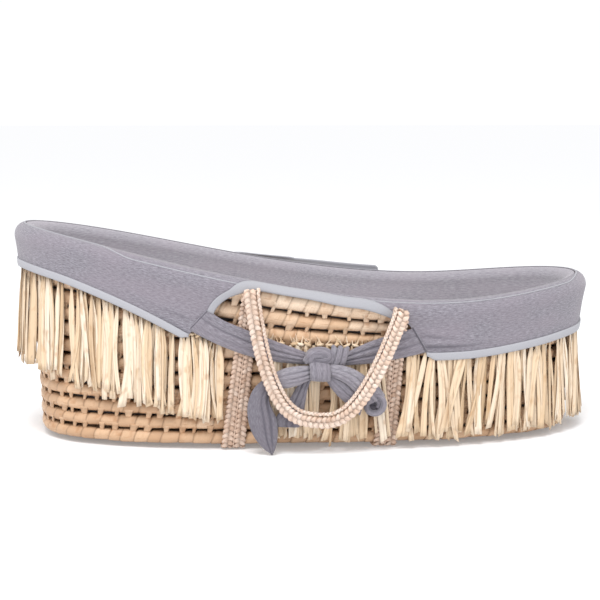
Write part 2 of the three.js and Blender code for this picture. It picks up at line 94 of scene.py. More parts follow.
def rim_top(x):
    """Height of the cover's top over the rim, which rises to the head and a little to the foot."""
    half = TOP_LENGTH / 2
    head = np.clip((RIM_LOW_X - x) / (RIM_LOW_X + half), 0, 1)
    foot = np.clip((x - RIM_LOW_X) / (half - RIM_LOW_X), 0, 1)
    return RIM_LOW + HEAD_RISE * ease(head) + FOOT_RISE * ease(foot)


def power(value, exponent):
    """A power that keeps the sign."""
    return np.sign(value) * np.abs(value) ** exponent


def coil_top(t):
    """Top of the rim coil at an angle: 0 at the foot end, 90 degrees at the rear."""
    return rim_top(RIM_HALF_LENGTH * np.cos(t)) - OVER_RIM


def wall_size(z_share):
    """Half length, half width and squareness of the wall at a share of its height."""
    lean = FLARE * (z_share ** 1.7 - 1)
    squareness = BASE_SQUARENESS + (RIM_SQUARENESS - BASE_SQUARENESS) * z_share
    return RIM_HALF_LENGTH + lean, RIM_HALF_WIDTH + lean, squareness


def wall_point(t, z, out=0.0):
    """A point at an angle, a height and a distance outwards from the wall's middle."""
    a, b, n = wall_size(np.clip(z / coil_top(t), 0, 1))
    x = a * power(np.cos(t), 2 / n)
    wide = b * (1 + FOOT_WIDER * x / a)
    y = wide * power(np.sin(t), 2 / n)
    nx, ny = power(x / a, n - 1) / a, power(y / wide, n - 1) / wide
    size = np.hypot(nx, ny)
    return np.stack([x + nx / size * out, y + ny / size * out, z + 0 * x], -1)


def outward_at(t, z):
    """The level direction that points straight out of the wall."""
    return unit_rows(wall_point(t, z, 1.0) - wall_point(t, z))


def angle_at(x, z, side):
    """The angle at which the wall stands at x, on the front or the rear side."""
    t = np.arccos(np.clip(x / RIM_HALF_LENGTH, -1, 1))
    for _ in range(3):
        a, _, n = wall_size(np.clip(z / coil_top(t), 0, 1))
        t = np.arccos(power(np.clip(x / a, -1, 1), n / 2))
    return t if side == REAR else 2 * math.pi - t


def wall_at_x(x, z, out, side=FRONT):
    return wall_point(angle_at(x, z, side), z, out)


def row_levels(t):
    """Bottom and top of every row at each angle, from the floor up, and the height of one full row."""
    past = 90 - np.abs(np.degrees(t) % 360 - 180)
    shares = []
    for start in SHORT_ROWS:
        shares += [np.ones_like(t), np.clip((past - start) / SHORT_RAMP, 0, 1)]
    unit = (coil_top(t) - RIM_COIL_HEIGHT - LOWER_TOP) / sum(shares)
    levels = [BASE_Z + i * LOWER_PITCH + 0 * t for i in range(LOWER_ROWS + 1)]
    for share in shares:
        levels.append(levels[-1] + share * unit)
    levels.append(coil_top(t))
    return levels, unit


def evenly(t, points):
    """The length of a curve of points, and its parameter t as a function of the distance along it."""
    along = lengths(points)
    return along[-1], lambda distance: np.interp(distance, along, t)


# ---- Meshes ----

class Surface:
    """Collects tubes and sheets into one mesh, with a grain place, a tone and a shade for its material."""

    def __init__(self):
        self.points, self.faces, self.grain, self.tone, self.shade = [], [], [], [], []
        self.count = 0

    def tubes(self, rings, grain, tone=0.5, shade=0.0, loop=False):
        """rings is (tubes, rings, sides, 3), or one tube without the first axis. Grain, tone and shade are
        broadcast to it. A loop joins the last ring to the first; else the ends are capped."""
        rings = rings.reshape(-1, *rings.shape[-3:])
        k, n, m, _ = rings.shape
        index = self.count + np.arange(k * n * m).reshape(k, n, m)
        here = index if loop else index[:, :-1]
        ahead = np.roll(index, -1, 1) if loop else index[:, 1:]
        quads = [here, ahead, np.roll(ahead, -1, 2), np.roll(here, -1, 2)]
        self.faces.append(np.stack(quads, -1).reshape(-1, 4))
        if not loop:
            for end, flip in ((0, False), (-1, True)):
                cap = index[:, end]
                for i in range(m // 2 - 1):
                    quad = [cap[:, i], cap[:, i + 1], cap[:, m - 2 - i], cap[:, m - 1 - i]]
                    self.faces.append(np.stack(quad[::-1] if flip else quad, -1))
        self.points.append(rings.reshape(-1, 3))
        self.grain.append(np.broadcast_to(grain, rings.shape).reshape(-1, 3))
        self.tone.append(np.broadcast_to(tone, rings.shape[:3]).reshape(-1))
        self.shade.append(np.broadcast_to(shade, rings.shape[:3]).reshape(-1))
        self.count += k * n * m

    def cloth(self, outer, thickness, tone=0.5, shade=0.0, loop=False, grain=None):
        """A closed sheet: an outer face, (n, m, 3), and an inner one under it, as one flat tube."""
        along = np.roll(outer, -1, 0) - np.roll(outer, 1, 0) if loop else np.gradient(outer, axis=0)
        normal = unit_rows(np.cross(along, np.gradient(outer, axis=1)))
        inner = outer - thickness * normal
        rings = np.concatenate([outer, inner[:, ::-1]], 1)
        grain = cloth_grain(outer) if grain is None else grain
        shade = np.broadcast_to(shade, outer.shape[:2])
        self.tubes(rings, both_faces(grain), tone, both_faces(shade), loop)

    def piece(self, name, material, body="basket", in_cad=True):
        points = np.concatenate(self.points) * MM
        faces = np.concatenate(self.faces)
        mesh = bpy.data.meshes.new(name)
        mesh.from_pydata(points.tolist(), [], faces.tolist())
        mesh.shade_smooth()
        grain = mesh.attributes.new("grain", "FLOAT_VECTOR", "POINT")
        grain.data.foreach_set("vector", np.concatenate(self.grain).astype(np.float32).ravel())
        for label, values in (("tone", self.tone), ("shade", self.shade)):
            attribute = mesh.attributes.new(label, "FLOAT", "POINT")
            attribute.data.foreach_set("value", np.concatenate(values).astype(np.float32))
        mesh.materials.append(material)
        made = add_object(name, mesh)
        if body:
            finish_piece(made, body, in_cad)
        return made


def add_object(name, data):
    made = bpy.data.objects.new(name, data)
    bpy.context.scene.collection.objects.link(made)
    return made


def both_faces(values):
    """Values of a sheet's outer face, and the same for the inner one."""
    return np.concatenate([values, values[:, ::-1]], 1)


def cloth_grain(outer):
    """Distances along and across a sheet."""
    n, m, _ = outer.shape
    along = np.repeat(lengths(outer[:, 0])[:, None], m, 1)
    steps = np.linalg.norm(np.diff(outer, axis=1), axis=2)
    across = np.concatenate([np.zeros((n, 1)), np.cumsum(steps, 1)], 1)
    return stacked(along, across, 0)


def circle(count):
    """Angles evenly round a full turn."""
    return np.linspace(0, 2 * math.pi, count, endpoint=False)


def stacked(*columns):
    """Coordinates given as separate arrays, broadcast together as points."""
    return np.stack(np.broadcast_arrays(*columns), -1)


def reached(base, *steps):
    """New points off each base point. A step is a distance for each new point, and a direction."""
    points = base[..., None, :]
    for distance, direction in steps:
        points = points + distance[..., None] * direction[..., None, :]
    return points


def spread_tone(middle, spread, count):
    """A random tone for each of a number of strands."""
    return np.clip(rng.normal(middle, spread, count), 0, 1)


def finish_piece(made, body, in_cad=True):
    """Ties a piece to its body, and hides the CAD node that has its name."""
    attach(made, body)
    if in_cad:
        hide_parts(made.name.split(".")[0])


def unit_rows(vectors):
    return vectors / np.linalg.norm(vectors, axis=-1, keepdims=True)


def tangents(points, loop=False):
    if loop:
        return unit_rows(np.roll(points, -1, 0) - np.roll(points, 1, 0))
    return unit_rows(np.gradient(points, axis=0))


def lengths(points):
    steps = np.linalg.norm(np.diff(points, axis=0), axis=1)
    return np.concatenate([[0], np.cumsum(steps)])


def smooth_path(points, count):
    """A smooth curve through given rows of numbers, resampled evenly in the rows' own spacing."""
    points = np.asarray(points, float)
    padded = np.concatenate([[2 * points[0] - points[1]], points, [2 * points[-1] - points[-2]]])
    places = np.linspace(0, len(points) - 1 - 1e-9, count)
    i = places.astype(int)
    s = (places - i)[:, None]
    p0, p1, p2, p3 = (padded[i + k] for k in range(4))
    return 0.5 * (2 * p1 + (p2 - p0) * s + (2 * p0 - 5 * p1 + 4 * p2 - p3) * s ** 2
                  + (3 * p1 - p0 - 3 * p2 + p3) * s ** 3)


def resampled(path, step):
    """The path's rows, a given distance apart by its first three columns."""
    along = lengths(path[:, :3])
    places = np.linspace(0, along[-1], max(4, int(along[-1] / step)))
    return np.stack([np.interp(places, along, column) for column in path.T], -1)


# ---- Materials ----

class Nodes:
    """A material's node tree, written as a chain of short calls."""

    def __init__(self, name, **sockets):
        self.material = bpy.data.materials.new(name)
        self.material.use_nodes = True
        self.tree = self.material.node_tree
        self.shader = self.tree.nodes["Principled BSDF"]
        for socket, value in sockets.items():
            self.shader.inputs[socket.replace("_", " ")].default_value = value

    def put(self, target, value):
        if isinstance(value, bpy.types.NodeSocket):
            self.tree.links.new(value, target)
        else:
            target.default_value = value

    def add(self, kind, output=0, **values):
        node = self.tree.nodes.new(kind)
        for key, value in values.items():
            if key.startswith("in_"):
                label = key[3:]
                self.put(node.inputs[int(label) if label.isdigit() else label.replace("_", " ")], value)
            else:
                setattr(node, key, value)
        return node.outputs[output]

    def attribute(self, name):
        node = self.tree.nodes.new("ShaderNodeAttribute")
        node.attribute_name = name
        return node.outputs["Vector" if name == "grain" else "Fac"]

    def grain(self, scale, detail=2.0, rough=0.5):
        """Noise in the grain coordinate, which is in millimetres; scale is per millimetre along each axis."""
        stretched = self.add("ShaderNodeMapping", in_Vector=self.attribute("grain"), in_Scale=scale)
        return self.add("ShaderNodeTexNoise", in_Vector=stretched, in_Scale=1.0, in_Detail=detail,
                        in_Roughness=rough)

    def ramp(self, value, stops):
        node = self.tree.nodes.new("ShaderNodeValToRGB")
        self.put(node.inputs[0], value)
        elements = node.color_ramp.elements
        while len(elements) < len(stops):
            elements.new(0.5)
        for element, (place, colour) in zip(elements, stops):
            element.position = place
            element.color = (*colour, 1) if hasattr(colour, "__len__") else (colour,) * 3 + (1,)
        return node.outputs[0]

    def math(self, operation, a, b=0.0):
        node = self.tree.nodes.new("ShaderNodeMath")
        node.operation = operation
        self.put(node.inputs[0], a)
        self.put(node.inputs[1], b)
        return node.outputs[0]

    def mix(self, share, a, b, blend="MIX"):
        node = self.tree.nodes.new("ShaderNodeMix")
        node.data_type, node.blend_type = "RGBA", blend
        colour = [s for s in node.inputs if s.type == "RGBA"]
        self.put(node.inputs[0], share)
        for socket, value in zip(colour, (a, b)):
            self.put(socket, value if isinstance(value, bpy.types.NodeSocket) else (*value, 1))
        return [s for s in node.outputs if s.type == "RGBA"][0]

    def finish(self, colour, heights=()):
        """Joins the colour and adds bumps, each a (height, depth in metres, strength)."""
        self.put(self.shader.inputs["Base Color"], colour)
        normal = None
        for height, distance, strength in heights:
            node = self.tree.nodes.new("ShaderNodeBump")
            node.inputs["Strength"].default_value = strength
            node.inputs["Distance"].default_value = distance
            self.put(node.inputs["Height"], height)
            if normal:
                self.put(node.inputs["Normal"], normal)
            normal = node.outputs[0]
        if normal:
            self.put(self.shader.inputs["Normal"], normal)
        return self.material


def leaf_material(name, dark, middle, pale, stain, roughness, depth=0.0005, streaks=0.5):
    """Dried leaf: fibres along the strand, a tone per strand, stains, and painted shade where strands meet.
    """
    n = Nodes(name, Roughness=roughness, Specular_IOR_Level=0.35)
    fibres = n.grain((0.03, 2.2, 2.2), 3.0, 0.6)
    fine = n.grain((0.1, 6.0, 6.0))
    blotch = n.grain((0.05, 0.08, 0.08))
    body = n.ramp(n.attribute("tone"), [(0.0, dark), (0.5, middle), (1.0, pale)])
    streaked = n.mix(n.ramp(fibres, [(0.3, streaks), (0.65, 0.0)]), body, dark)
    stained = n.mix(n.ramp(blotch, [(0.56, 0.0), (0.72, 0.55)]), streaked, stain)
    shaded = n.mix(n.attribute("shade"), stained, tuple(c * 0.25 for c in stain))
    return n.finish(shaded, [(fibres, depth, 0.55), (fine, depth * 0.4, 0.4)])


def jersey_material():
    """Grey marl knit: short flecks along the grain, fine ribs, a soft nap."""
    n = Nodes("jersey", Roughness=0.95, Sheen_Weight=0.25, Sheen_Roughness=0.6, Specular_IOR_Level=0.15)
    flecks = n.grain((0.14, 0.85, 0.85), 4.0, 0.68)
    specks = n.grain((0.4, 1.9, 1.9), 2.0, 0.6)
    clouds = n.grain((0.012, 0.03, 0.03), 1.0)
    dark, middle, pale = (0.132, 0.120, 0.145), (0.211, 0.196, 0.227), (0.330, 0.317, 0.352)
    marl = n.ramp(flecks, [(0.34, dark), (0.5, middle), (0.68, pale)])
    speckled = n.mix(n.ramp(specks, [(0.55, 0.0), (0.75, 0.5)]), marl, (0.348, 0.341, 0.364))
    darker = n.mix(n.ramp(specks, [(0.28, 0.45), (0.42, 0.0)]), speckled, (0.111, 0.101, 0.127))
    tinted = n.mix(n.ramp(clouds, [(0.35, 0.0), (0.65, 0.4)]), darker, (0.250, 0.214, 0.250))
    # Painted light: a tone over 0.5 lightens the cloth; the lining and the bow loops get it.
    painted_light = n.ramp(n.attribute("tone"), [(0.5, 0.0), (1.0, 1.0)])
    lighter = n.mix(painted_light, tinted, (0.085, 0.083, 0.085), "ADD")
    shaded = n.mix(n.attribute("shade"), lighter, (0.07, 0.065, 0.085))
    wave = n.add("ShaderNodeTexWave", 1, in_Vector=n.attribute("grain"), in_Scale=0.35, in_Distortion=0.6,
                 bands_direction="X")
    return n.finish(shaded, [(flecks, 0.0006, 0.3), (wave, 0.0003, 0.25)])


def tape_material():
    """Pale folded binding with a row of stitches near its upper edge."""
    n = Nodes("tape", Roughness=0.8, Sheen_Weight=0.15, Specular_IOR_Level=0.2)
    weave = n.grain((1.6, 0.5, 0.5))
    split = n.tree.nodes.new("ShaderNodeSeparateXYZ")
    n.put(split.inputs[0], n.attribute("grain"))
    across = n.math("ABSOLUTE", n.math("SUBTRACT", split.outputs[1], 2.0))
    on_line = n.math("LESS_THAN", across, 0.45)
    dash = n.math("LESS_THAN", n.math("FRACT", n.math("MULTIPLY", split.outputs[0], 0.33)), 0.6)
    thread_mask = n.math("MULTIPLY", on_line, dash)
    cloth = n.ramp(weave, [(0.3, (0.355, 0.355, 0.385)), (0.7, (0.41, 0.41, 0.44))])
    threaded = n.mix(n.math("MULTIPLY", thread_mask, 0.35), cloth, (0.42, 0.42, 0.45))
    shaded = n.mix(n.attribute("shade"), threaded, (0.2, 0.2, 0.22))
    return n.finish(shaded, [(weave, 0.0003, 0.3), (thread_mask, 0.0004, 0.4)])


def cotton_material():
    """Off-white mattress cotton with a small quilted diamond."""
    n = Nodes("mattress_cotton", Roughness=0.9, Sheen_Weight=0.2)
    place = n.add("ShaderNodeTexCoord", "Object")
    turned = n.add("ShaderNodeMapping", in_Vector=place, in_Rotation=(0, 0, math.radians(45)))
    sides = [n.add("ShaderNodeTexWave", 1, in_Vector=turned, in_Scale=9.0, bands_direction=axis)
             for axis in ("X", "Y")]
    quilt = n.math("MINIMUM", *[n.math("POWER", side, 0.35) for side in sides])
    weave = n.add("ShaderNodeTexNoise", in_Vector=place, in_Scale=900.0)
    colour = n.ramp(weave, [(0.3, (0.60, 0.59, 0.56)), (0.7, (0.68, 0.67, 0.645))])
    return n.finish(colour, [(quilt, 0.003, 0.6), (weave, 0.0003, 0.3)])


def floor_material():
    return Nodes("floor", Roughness=0.9, Base_Color=(0.76, 0.765, 0.78, 1), Specular_IOR_Level=0.0,
                 Emission_Color=(1, 1, 1, 1), Emission_Strength=0.2).material


COIL = leaf_material("palm_coil", (0.47, 0.285, 0.165), (0.70, 0.475, 0.305), (0.86, 0.70, 0.545),
                     (0.40, 0.185, 0.08), 0.45)
PLAIT = leaf_material("palm_plait", (0.55, 0.37, 0.27), (0.74, 0.56, 0.45), (0.86, 0.74, 0.65),
                      (0.42, 0.24, 0.15), 0.5, 0.0003)
RAFFIA = leaf_material("raffia", (0.60, 0.415, 0.245), (0.79, 0.615, 0.43), (0.93, 0.82, 0.68),
                       (0.52, 0.30, 0.14), 0.42, 0.0003, 0.3)
JERSEY = jersey_material()
TAPE = tape_material()
COTTON = cotton_material()


# ---- Camera, light and floor ----

CAMERA_PLACE = (-0.1927, -2.1734, 0.4622)
CAMERA_YAW, CAMERA_PITCH, CAMERA_LENS = 4.90, 7.31, 89.5


def add_camera():
    data = bpy.data.cameras.new("camera")
    data.lens = CAMERA_LENS
    camera = add_object("camera", data)
    camera.location = CAMERA_PLACE
    camera.rotation_euler = (math.radians(90 - CAMERA_PITCH), 0, math.radians(-CAMERA_YAW))
    bpy.context.scene.camera = camera


def add_light(name, place, aim, size, energy):
    data = bpy.data.lights.new(name, "AREA")
    data.shape, data.size, data.energy = "DISK", size, energy
    light = add_object(name, data)
    light.location = place
    light.rotation_euler = (Vector(aim) - Vector(place)).to_track_quat("-Z", "Y").to_euler()


def add_stage():
    mesh = bpy.data.meshes.new("floor")
    reach, level = 40, -0.0006
    corners = [(-reach, -reach, level), (reach, -reach, level), (reach, reach, level), (-reach, reach, level)]
    mesh.from_pydata(corners, [], [(0, 1, 2, 3)])
    mesh.materials.append(floor_material())
    add_object("floor", mesh)
    world = bpy.data.worlds.new("studio")
    world.use_nodes = True
    colour, strength = world.node_tree.nodes["Background"].inputs[:2]
    colour.default_value = (1, 1, 1, 1)
    strength.default_value = 1.02
    bpy.context.scene.world = world
    add_light("key", (-0.5, -1.8, 3.3), (0, 0, 0.1), 1.5, 85)
    for side in (-1, 1):
        add_light("fill", (side * 2.4, -2.0, 0.7), (side * 0.3, 0, 0.1), 1.2, 6)
    bpy.context.scene.view_settings.view_transform = "Standard"


# ---- Coiled palm body ----

ROW_GAP = 1.4  # from a row's leaf to the line between two rows
ROW_HALF = COIL_HALF - 0.6  # a wall row's half thickness
THIN_ROW = 8  # a short row lower than this is running out
STITCH_WIDTH = 12
STITCH_STEP, STITCH_STEP_HIGH = 22, 25  # in the level rows, and in those above
# Along one wrap of leaf: where its rings lie, how far each stands out, and how much painted shade it gets,
# most in the grooves where wraps overlap.
WRAP_RINGS = np.array([0.02, 0.10, 0.32, 0.65, 0.90, 0.98])
WRAP_RISE = np.array([0.55, 0.75, 0.6, 0.35, 0.1, -0.45])
WRAP_SHADE = np.array([0.22, 0.0, 0.0, 0.0, 0.06, 0.5])
COIL_SIDES = 16
GIRTH = 10.0  # millimetres of grain for each radian round a coil


def wraps_along(total, width):
    """Start and width of each wrap of leaf round a bundle of that length."""
    count = max(4, int(total / width))
    widths = rng.uniform(0.75, 1.25, count)
    widths *= total / widths.sum()
    return np.concatenate([[0], np.cumsum(widths)[:-1]]), widths


def bundle(surface, place, total, width=21, loop=True, pale=0.45):
    """A wrapped bundle. place(distance) gives centres, outward directions, half depths and half heights."""
    starts, widths = wraps_along(total, width)
    distance = (starts[:, None] + widths[:, None] * WRAP_RINGS).ravel()
    centre, outward, half_out, half_up = place(distance)
    count, per_wrap = len(starts), len(WRAP_RINGS)
    bulge = WRAP_RISE * rng.uniform(0.6, 1.2, (count, 1)) + rng.uniform(-0.35, 0.35, (count, 1))
    bulge = bulge.ravel()[:, None]
    angle = circle(COIL_SIDES)
    along = tangents(centre, loop)
    upward = np.cross(outward, along)
    upward *= np.sign(upward[:, 2:3] + 1e-9)
    rise = np.sin(angle)
    spot = distance[:, None]
    lumps = 0.4 * np.sin(spot / 9 + 3 * angle) + 0.4 * np.sin(spot / 23 - 2 * angle)
    reach_out = (half_out[:, None] + bulge + lumps) * power(np.cos(angle), 0.95)
    reach_up = (half_up[:, None] + 0.7 * bulge + 0.8 * lumps) * rise
    slant = (2.6 + np.repeat(rng.uniform(-1.5, 1.5, count), per_wrap))[:, None] * rise
    rings = reached(centre, (reach_out, outward), (reach_up, upward), (slant, along))
    seed = rng.uniform(0, 900)
    grain = stacked(angle * GIRTH, spot + seed, np.cos(angle) * 2)
    tone = np.repeat(spread_tone(pale, 0.13, count), per_wrap)[:, None]
    shade = np.tile(WRAP_SHADE, count)[:, None] + 0.8 * np.abs(rise) ** 9
    surface.tubes(rings, grain, tone, np.clip(shade, 0, 1), loop)


def stitches(surface, upper_row, lower_row, places, pale):
    """Strands of leaf that bind a row to the one below, from its front down to the top of the lower one.
    Each row is its centres, outward directions, half thicknesses and half heights at the stitches."""
    v = np.linspace(0, 1, 11)
    upper, outward, half, half_up = upper_row
    lower, _, _, low_half = lower_row
    along = unit_rows(np.cross(outward, [0, 0, 1.0]))
    count = len(places)
    gap = upper - lower
    size = np.linalg.norm(gap, axis=1)[:, None]
    down = 0.1 + v[None, :] * 0.6
    round_upper = np.sqrt(np.clip(1 - (down * size / half_up[:, None]) ** 2, 0, 1))
    round_lower = np.sqrt(np.clip(1 - ((1 - down) * size / low_half[:, None]) ** 2, 0, 1))
    bridge = np.sin(math.pi * v) ** 0.6
    out = half[:, None] * np.maximum(np.maximum(round_upper, round_lower), 0.66) - 1.2 + 1.7 * bridge
    lean = rng.uniform(0.5, 4.5, count)[:, None] * (v - 0.5)
    middle = reached(upper, (-down, gap), (out, outward), (lean, along))
    angle = circle(8)
    widths = STITCH_WIDTH * rng.uniform(0.6, 1.3, count)[:, None]
    half_width = 0.5 * widths * (0.62 + 0.5 * (1 - v) ** 1.6)
    wide = half_width[..., None] * power(np.cos(angle), 0.8)
    thick = (0.5 + 1.0 * bridge)[:, None] * np.sin(angle)
    rings = reached(middle, (wide, along[:, None]), (thick, outward[:, None]))
    grain = stacked((v * 22)[:, None], wide + places[:, None, None], 2 * np.sin(angle))
    tone = spread_tone(pale, 0.1, count)[:, None, None]
    shade = (0.2 * np.sin(math.pi * v) ** 4)[:, None] + 0.25 * np.abs(power(np.cos(angle), 0.8)) ** 5
    surface.tubes(rings, grain, tone, shade)


def row_section(index, half, angles):
    """A row's centres, outward directions, half depths and half heights at the angles, and its height."""
    levels, _ = row_levels(angles)
    low, high = levels[index], levels[index + 1]
    middle = (low + high) / 2
    half_up = np.maximum((high - low) / 2 - ROW_GAP, 0.6)
    return (wall_point(angles, middle), outward_at(angles, middle), half + 0 * angles, half_up), high - low


def row_places(index, half, first=0.0, last=2 * math.pi):
    """A row's length, its section by distance along it, and the angle by distance."""
    t = np.linspace(first, last, 1441)
    (centre, *_), _ = row_section(index, half, t)
    total, angle_of = evenly(t, centre)

    def place(distance):
        (centre, outward, half_out, half_up), height = row_section(index, half, angle_of(distance))
        return centre, outward, half_out * np.sqrt(np.clip(height / THIN_ROW, 0, 1)), half_up

    return total, place, angle_of


def add_row(name, index, start=None):
    """One coil row. A short row runs round the head end only, from start degrees past the middle."""
    surface = Surface()
    half = RIM_COIL_HALF if name == "rim_coil" else ROW_HALF
    pale = 0.32 + 0.5 * (index / (LOWER_ROWS + 2 * MIDDLE_ROWS)) ** 2  # the upper rows are paler
    first = 0.0 if start is None else math.radians(90 + start + 3)
    total, place, angle_of = row_places(index, half, first, 2 * math.pi - first)
    bundle(surface, place, total, loop=start is None, pale=pale)
    if index > 0:
        step = STITCH_STEP if index < LOWER_ROWS else STITCH_STEP_HIGH
        places = np.arange(total / step - 1) * step
        places = places + rng.uniform(-5, 5, len(places)) + 6
        angles = angle_of(places)
        below = below_at(index, angles)
        for lower in np.unique(below):
            here = below == lower
            upper_row, _ = row_section(index, half, angles[here])
            lower_row, _ = row_section(lower, ROW_HALF, angles[here])
            stitches(surface, upper_row, lower_row, places[here], pale)
    surface.piece(name, COIL)


def below_at(index, angles):
    """The index of the row that is really under this one at each angle, where short rows may be missing."""
    levels, _ = row_levels(angles)
    thin = levels[index] - levels[index - 1] < THIN_ROW
    return np.where(thin, index - 2, index - 1)


def add_wall():
    for i in range(LOWER_ROWS):
        add_row(f"wall_coil_0{i + 1}", i)
    for i in range(MIDDLE_ROWS):
        add_row(f"wall_coil_0{LOWER_ROWS + i + 1}", LOWER_ROWS + 2 * i)
        add_row(f"head_short_coil_{i + 1}", LOWER_ROWS + 2 * i + 1, SHORT_ROWS[i])
    add_row("rim_coil", LOWER_ROWS + 2 * MIDDLE_ROWS)


def add_base():
    """One coil wound inwards, lying flat."""
    pitch, turns = 20.5, 7.5
    low, high = node_box("base_spiral")
    middle = (low[2] + high[2]) / 2
    outer = wall_point(np.array([0.0, math.pi / 2]), 0.0)
    half_a, half_b = outer[0, 0], outer[1, 1]
    turn = np.linspace(0.35, turns - 0.45, 4000)

    def oval_point(turn_now):
        t = turn_now * 2 * math.pi
        inset = COIL_HALF + 2 + pitch * (turn_now - 0.5)
        a, b = half_a - inset, np.maximum(half_b - inset, 3)
        n = 2 + 0.7 * b / half_b
        return stacked(a * power(np.cos(t), 2 / n), b * power(np.sin(t), 2 / n), middle)

    total, turn_of = evenly(turn, oval_point(turn))

    def place(distance):
        now = turn_of(distance)
        ahead = unit_rows(oval_point(now + 0.001) - oval_point(now - 0.001))
        outward = np.cross(ahead, [0, 0, 1.0])
        swell = np.clip((now - 0.3) * 2.2, 0.25, 1)
        return oval_point(now), outward, (pitch / 2 - 0.7) * swell, 8.5 * np.sqrt(swell)

    surface = Surface()
    bundle(surface, place, total, 30, loop=False)
    surface.piece("base_spiral", COIL)


# ---- Plaits ----

STRAND_INSET = 3.1  # a plait's strands swing to this far inside its edges


def plait(surface, path, across, width, thick, pitch=23.0, pale=0.6):
    """Three strands of folded leaf, plaited flat along a path of points with a direction across it."""
    along = lengths(path)
    forward = tangents(path)
    across = unit_rows(across - np.sum(across * forward, -1, keepdims=True) * forward)
    normal = np.cross(forward, across)
    width = np.broadcast_to(width, len(path))
    angle = circle(8)
    for k in range(3):
        phase = 2 * math.pi * (along / pitch + k / 3)
        side = np.sin(phase) * (width / 2 - STRAND_INSET)
        depth = np.sin(2 * phase) * thick * 0.24
        centre = path + side[:, None] * across + depth[:, None] * normal
        heading = tangents(centre)
        flat = unit_rows(np.cross(normal, heading))
        up = np.cross(heading, flat)
        roll = (np.cos(phase) * 0.35)[:, None]
        wide = np.cos(roll) * flat + np.sin(roll) * up
        tall = np.cos(roll) * up - np.sin(roll) * flat
        half_width = (0.25 * width)[:, None] * (1 + 0.07 * np.sin(along[:, None] * 0.9 + k))
        half_thick = thick * 0.25 * (1 - 0.25 * np.abs(np.sin(2 * angle)))
        rings = reached(centre, (half_width * power(np.cos(angle), 0.65), wide),
                        (half_thick * np.sin(angle), tall))
        seed = rng.uniform(0, 500)
        grain = stacked(along[:, None] + seed, half_width * np.cos(angle) + seed, 2 * np.sin(angle))
        loops = np.round(along / pitch * 2 + k / 3).astype(int)
        tone = spread_tone(pale, 0.16, loops.max() + 2)[loops]
        # Painted shade: darker at each strand's edges, and where it dives under the others.
        edge = 0.35 * np.abs(np.cos(angle)) ** 6 * (0.4 + 0.6 * np.abs(np.cos(phase))[:, None])
        under = 0.75 * np.clip(1.15 - np.abs(np.sin(phase)) * 1.6, 0, 1)[:, None] ** 1.5
        surface.tubes(rings, grain, tone[:, None], np.clip(edge + under, 0, 0.85))


def thread(surface, path, run, side, up, halves, tone, shade, wind=1.0, loop=False):
    """A thin thread along a path, with its half sizes along two directions. run is the distance along it."""
    angle = circle(6)
    rings = reached(path, (halves[0] * np.cos(angle), side), (halves[1] * np.sin(angle), up))
    grain = stacked(run[:, None], wind * np.cos(angle), wind * np.sin(angle))
    surface.tubes(rings, grain, tone, shade, loop)


# Heights below the hinge, heights over the floor and distances off the wall's middle, down a strap.
STRAP_TOP = [(0, 20), (12, 19), (26, 15.2)]
STRAP_WALL = [(150, 14.6), (115, 14.6), (80, 14.6), (45, 14.6), (22, 14.4), (10, 12.6), (4.5, 8)]
STRAP_HALF, STRAP_NARROWS = 8, 1.9  # half width of a strap's plait under the basket, and less at the rim


def strap_line(strap, which):
    """Centre line of a strap plait from the front rim, under the base, to the rear rim, and its widths."""
    low_x, high_x = STRAPS[strap]
    top = rim_top(high_x) - HINGE_BELOW_RIM

    def climb(side):
        rows = []
        for z, out in [(top - below, out) for below, out in STRAP_TOP] + STRAP_WALL:
            x = low_x + (high_x - low_x) * z / top
            half = STRAP_HALF - STRAP_NARROWS * z / top
            rows.append([*wall_at_x(x, z, out, side)[:2], z, half])
        return rows

    under = [[low_x, y, 2.6, STRAP_HALF] for y in (-150, -75, 0, 75, 150)]
    path = resampled(smooth_path(climb(FRONT) + under + climb(REAR)[::-1], 400), 1.9)
    path[:, 0] += which * (path[:, 3] + 0.1)
    return path[:, :3], path[:, 3] * 2


def add_straps():
    for strap in STRAPS:
        for number, which in ((1, -1), (2, 1)):
            surface = Surface()
            path, width = strap_line(strap, which)
            plait(surface, path, np.array([1.0, 0, 0]), width, 7.0, 21.0, pale=0.45)
            surface.piece(f"{strap}_plait_{number}", PLAIT)
        add_sewing(strap)


def add_sewing(strap):
    """Thin twisted leaf that sews a strap's two plaits together along the middle."""
    path, _ = strap_line(strap, 0)
    outside = np.cross(tangents(path), [1.0, 0, 0])
    centre = path + 1.6 * outside
    run = lengths(path)
    radius = 1.1 * (1 + 0.25 * np.sin(run * 1.3))[:, None]
    surface = Surface()
    thread(surface, centre, run, np.array([1.0, 0, 0]), outside, (radius, radius), 0.45, 0.15, wind=3)
    surface.piece(f"{strap}_sewing", PLAIT, in_cad=False)


ROLL_RADIUS = 4.6  # of a handle's ends round the hinge line


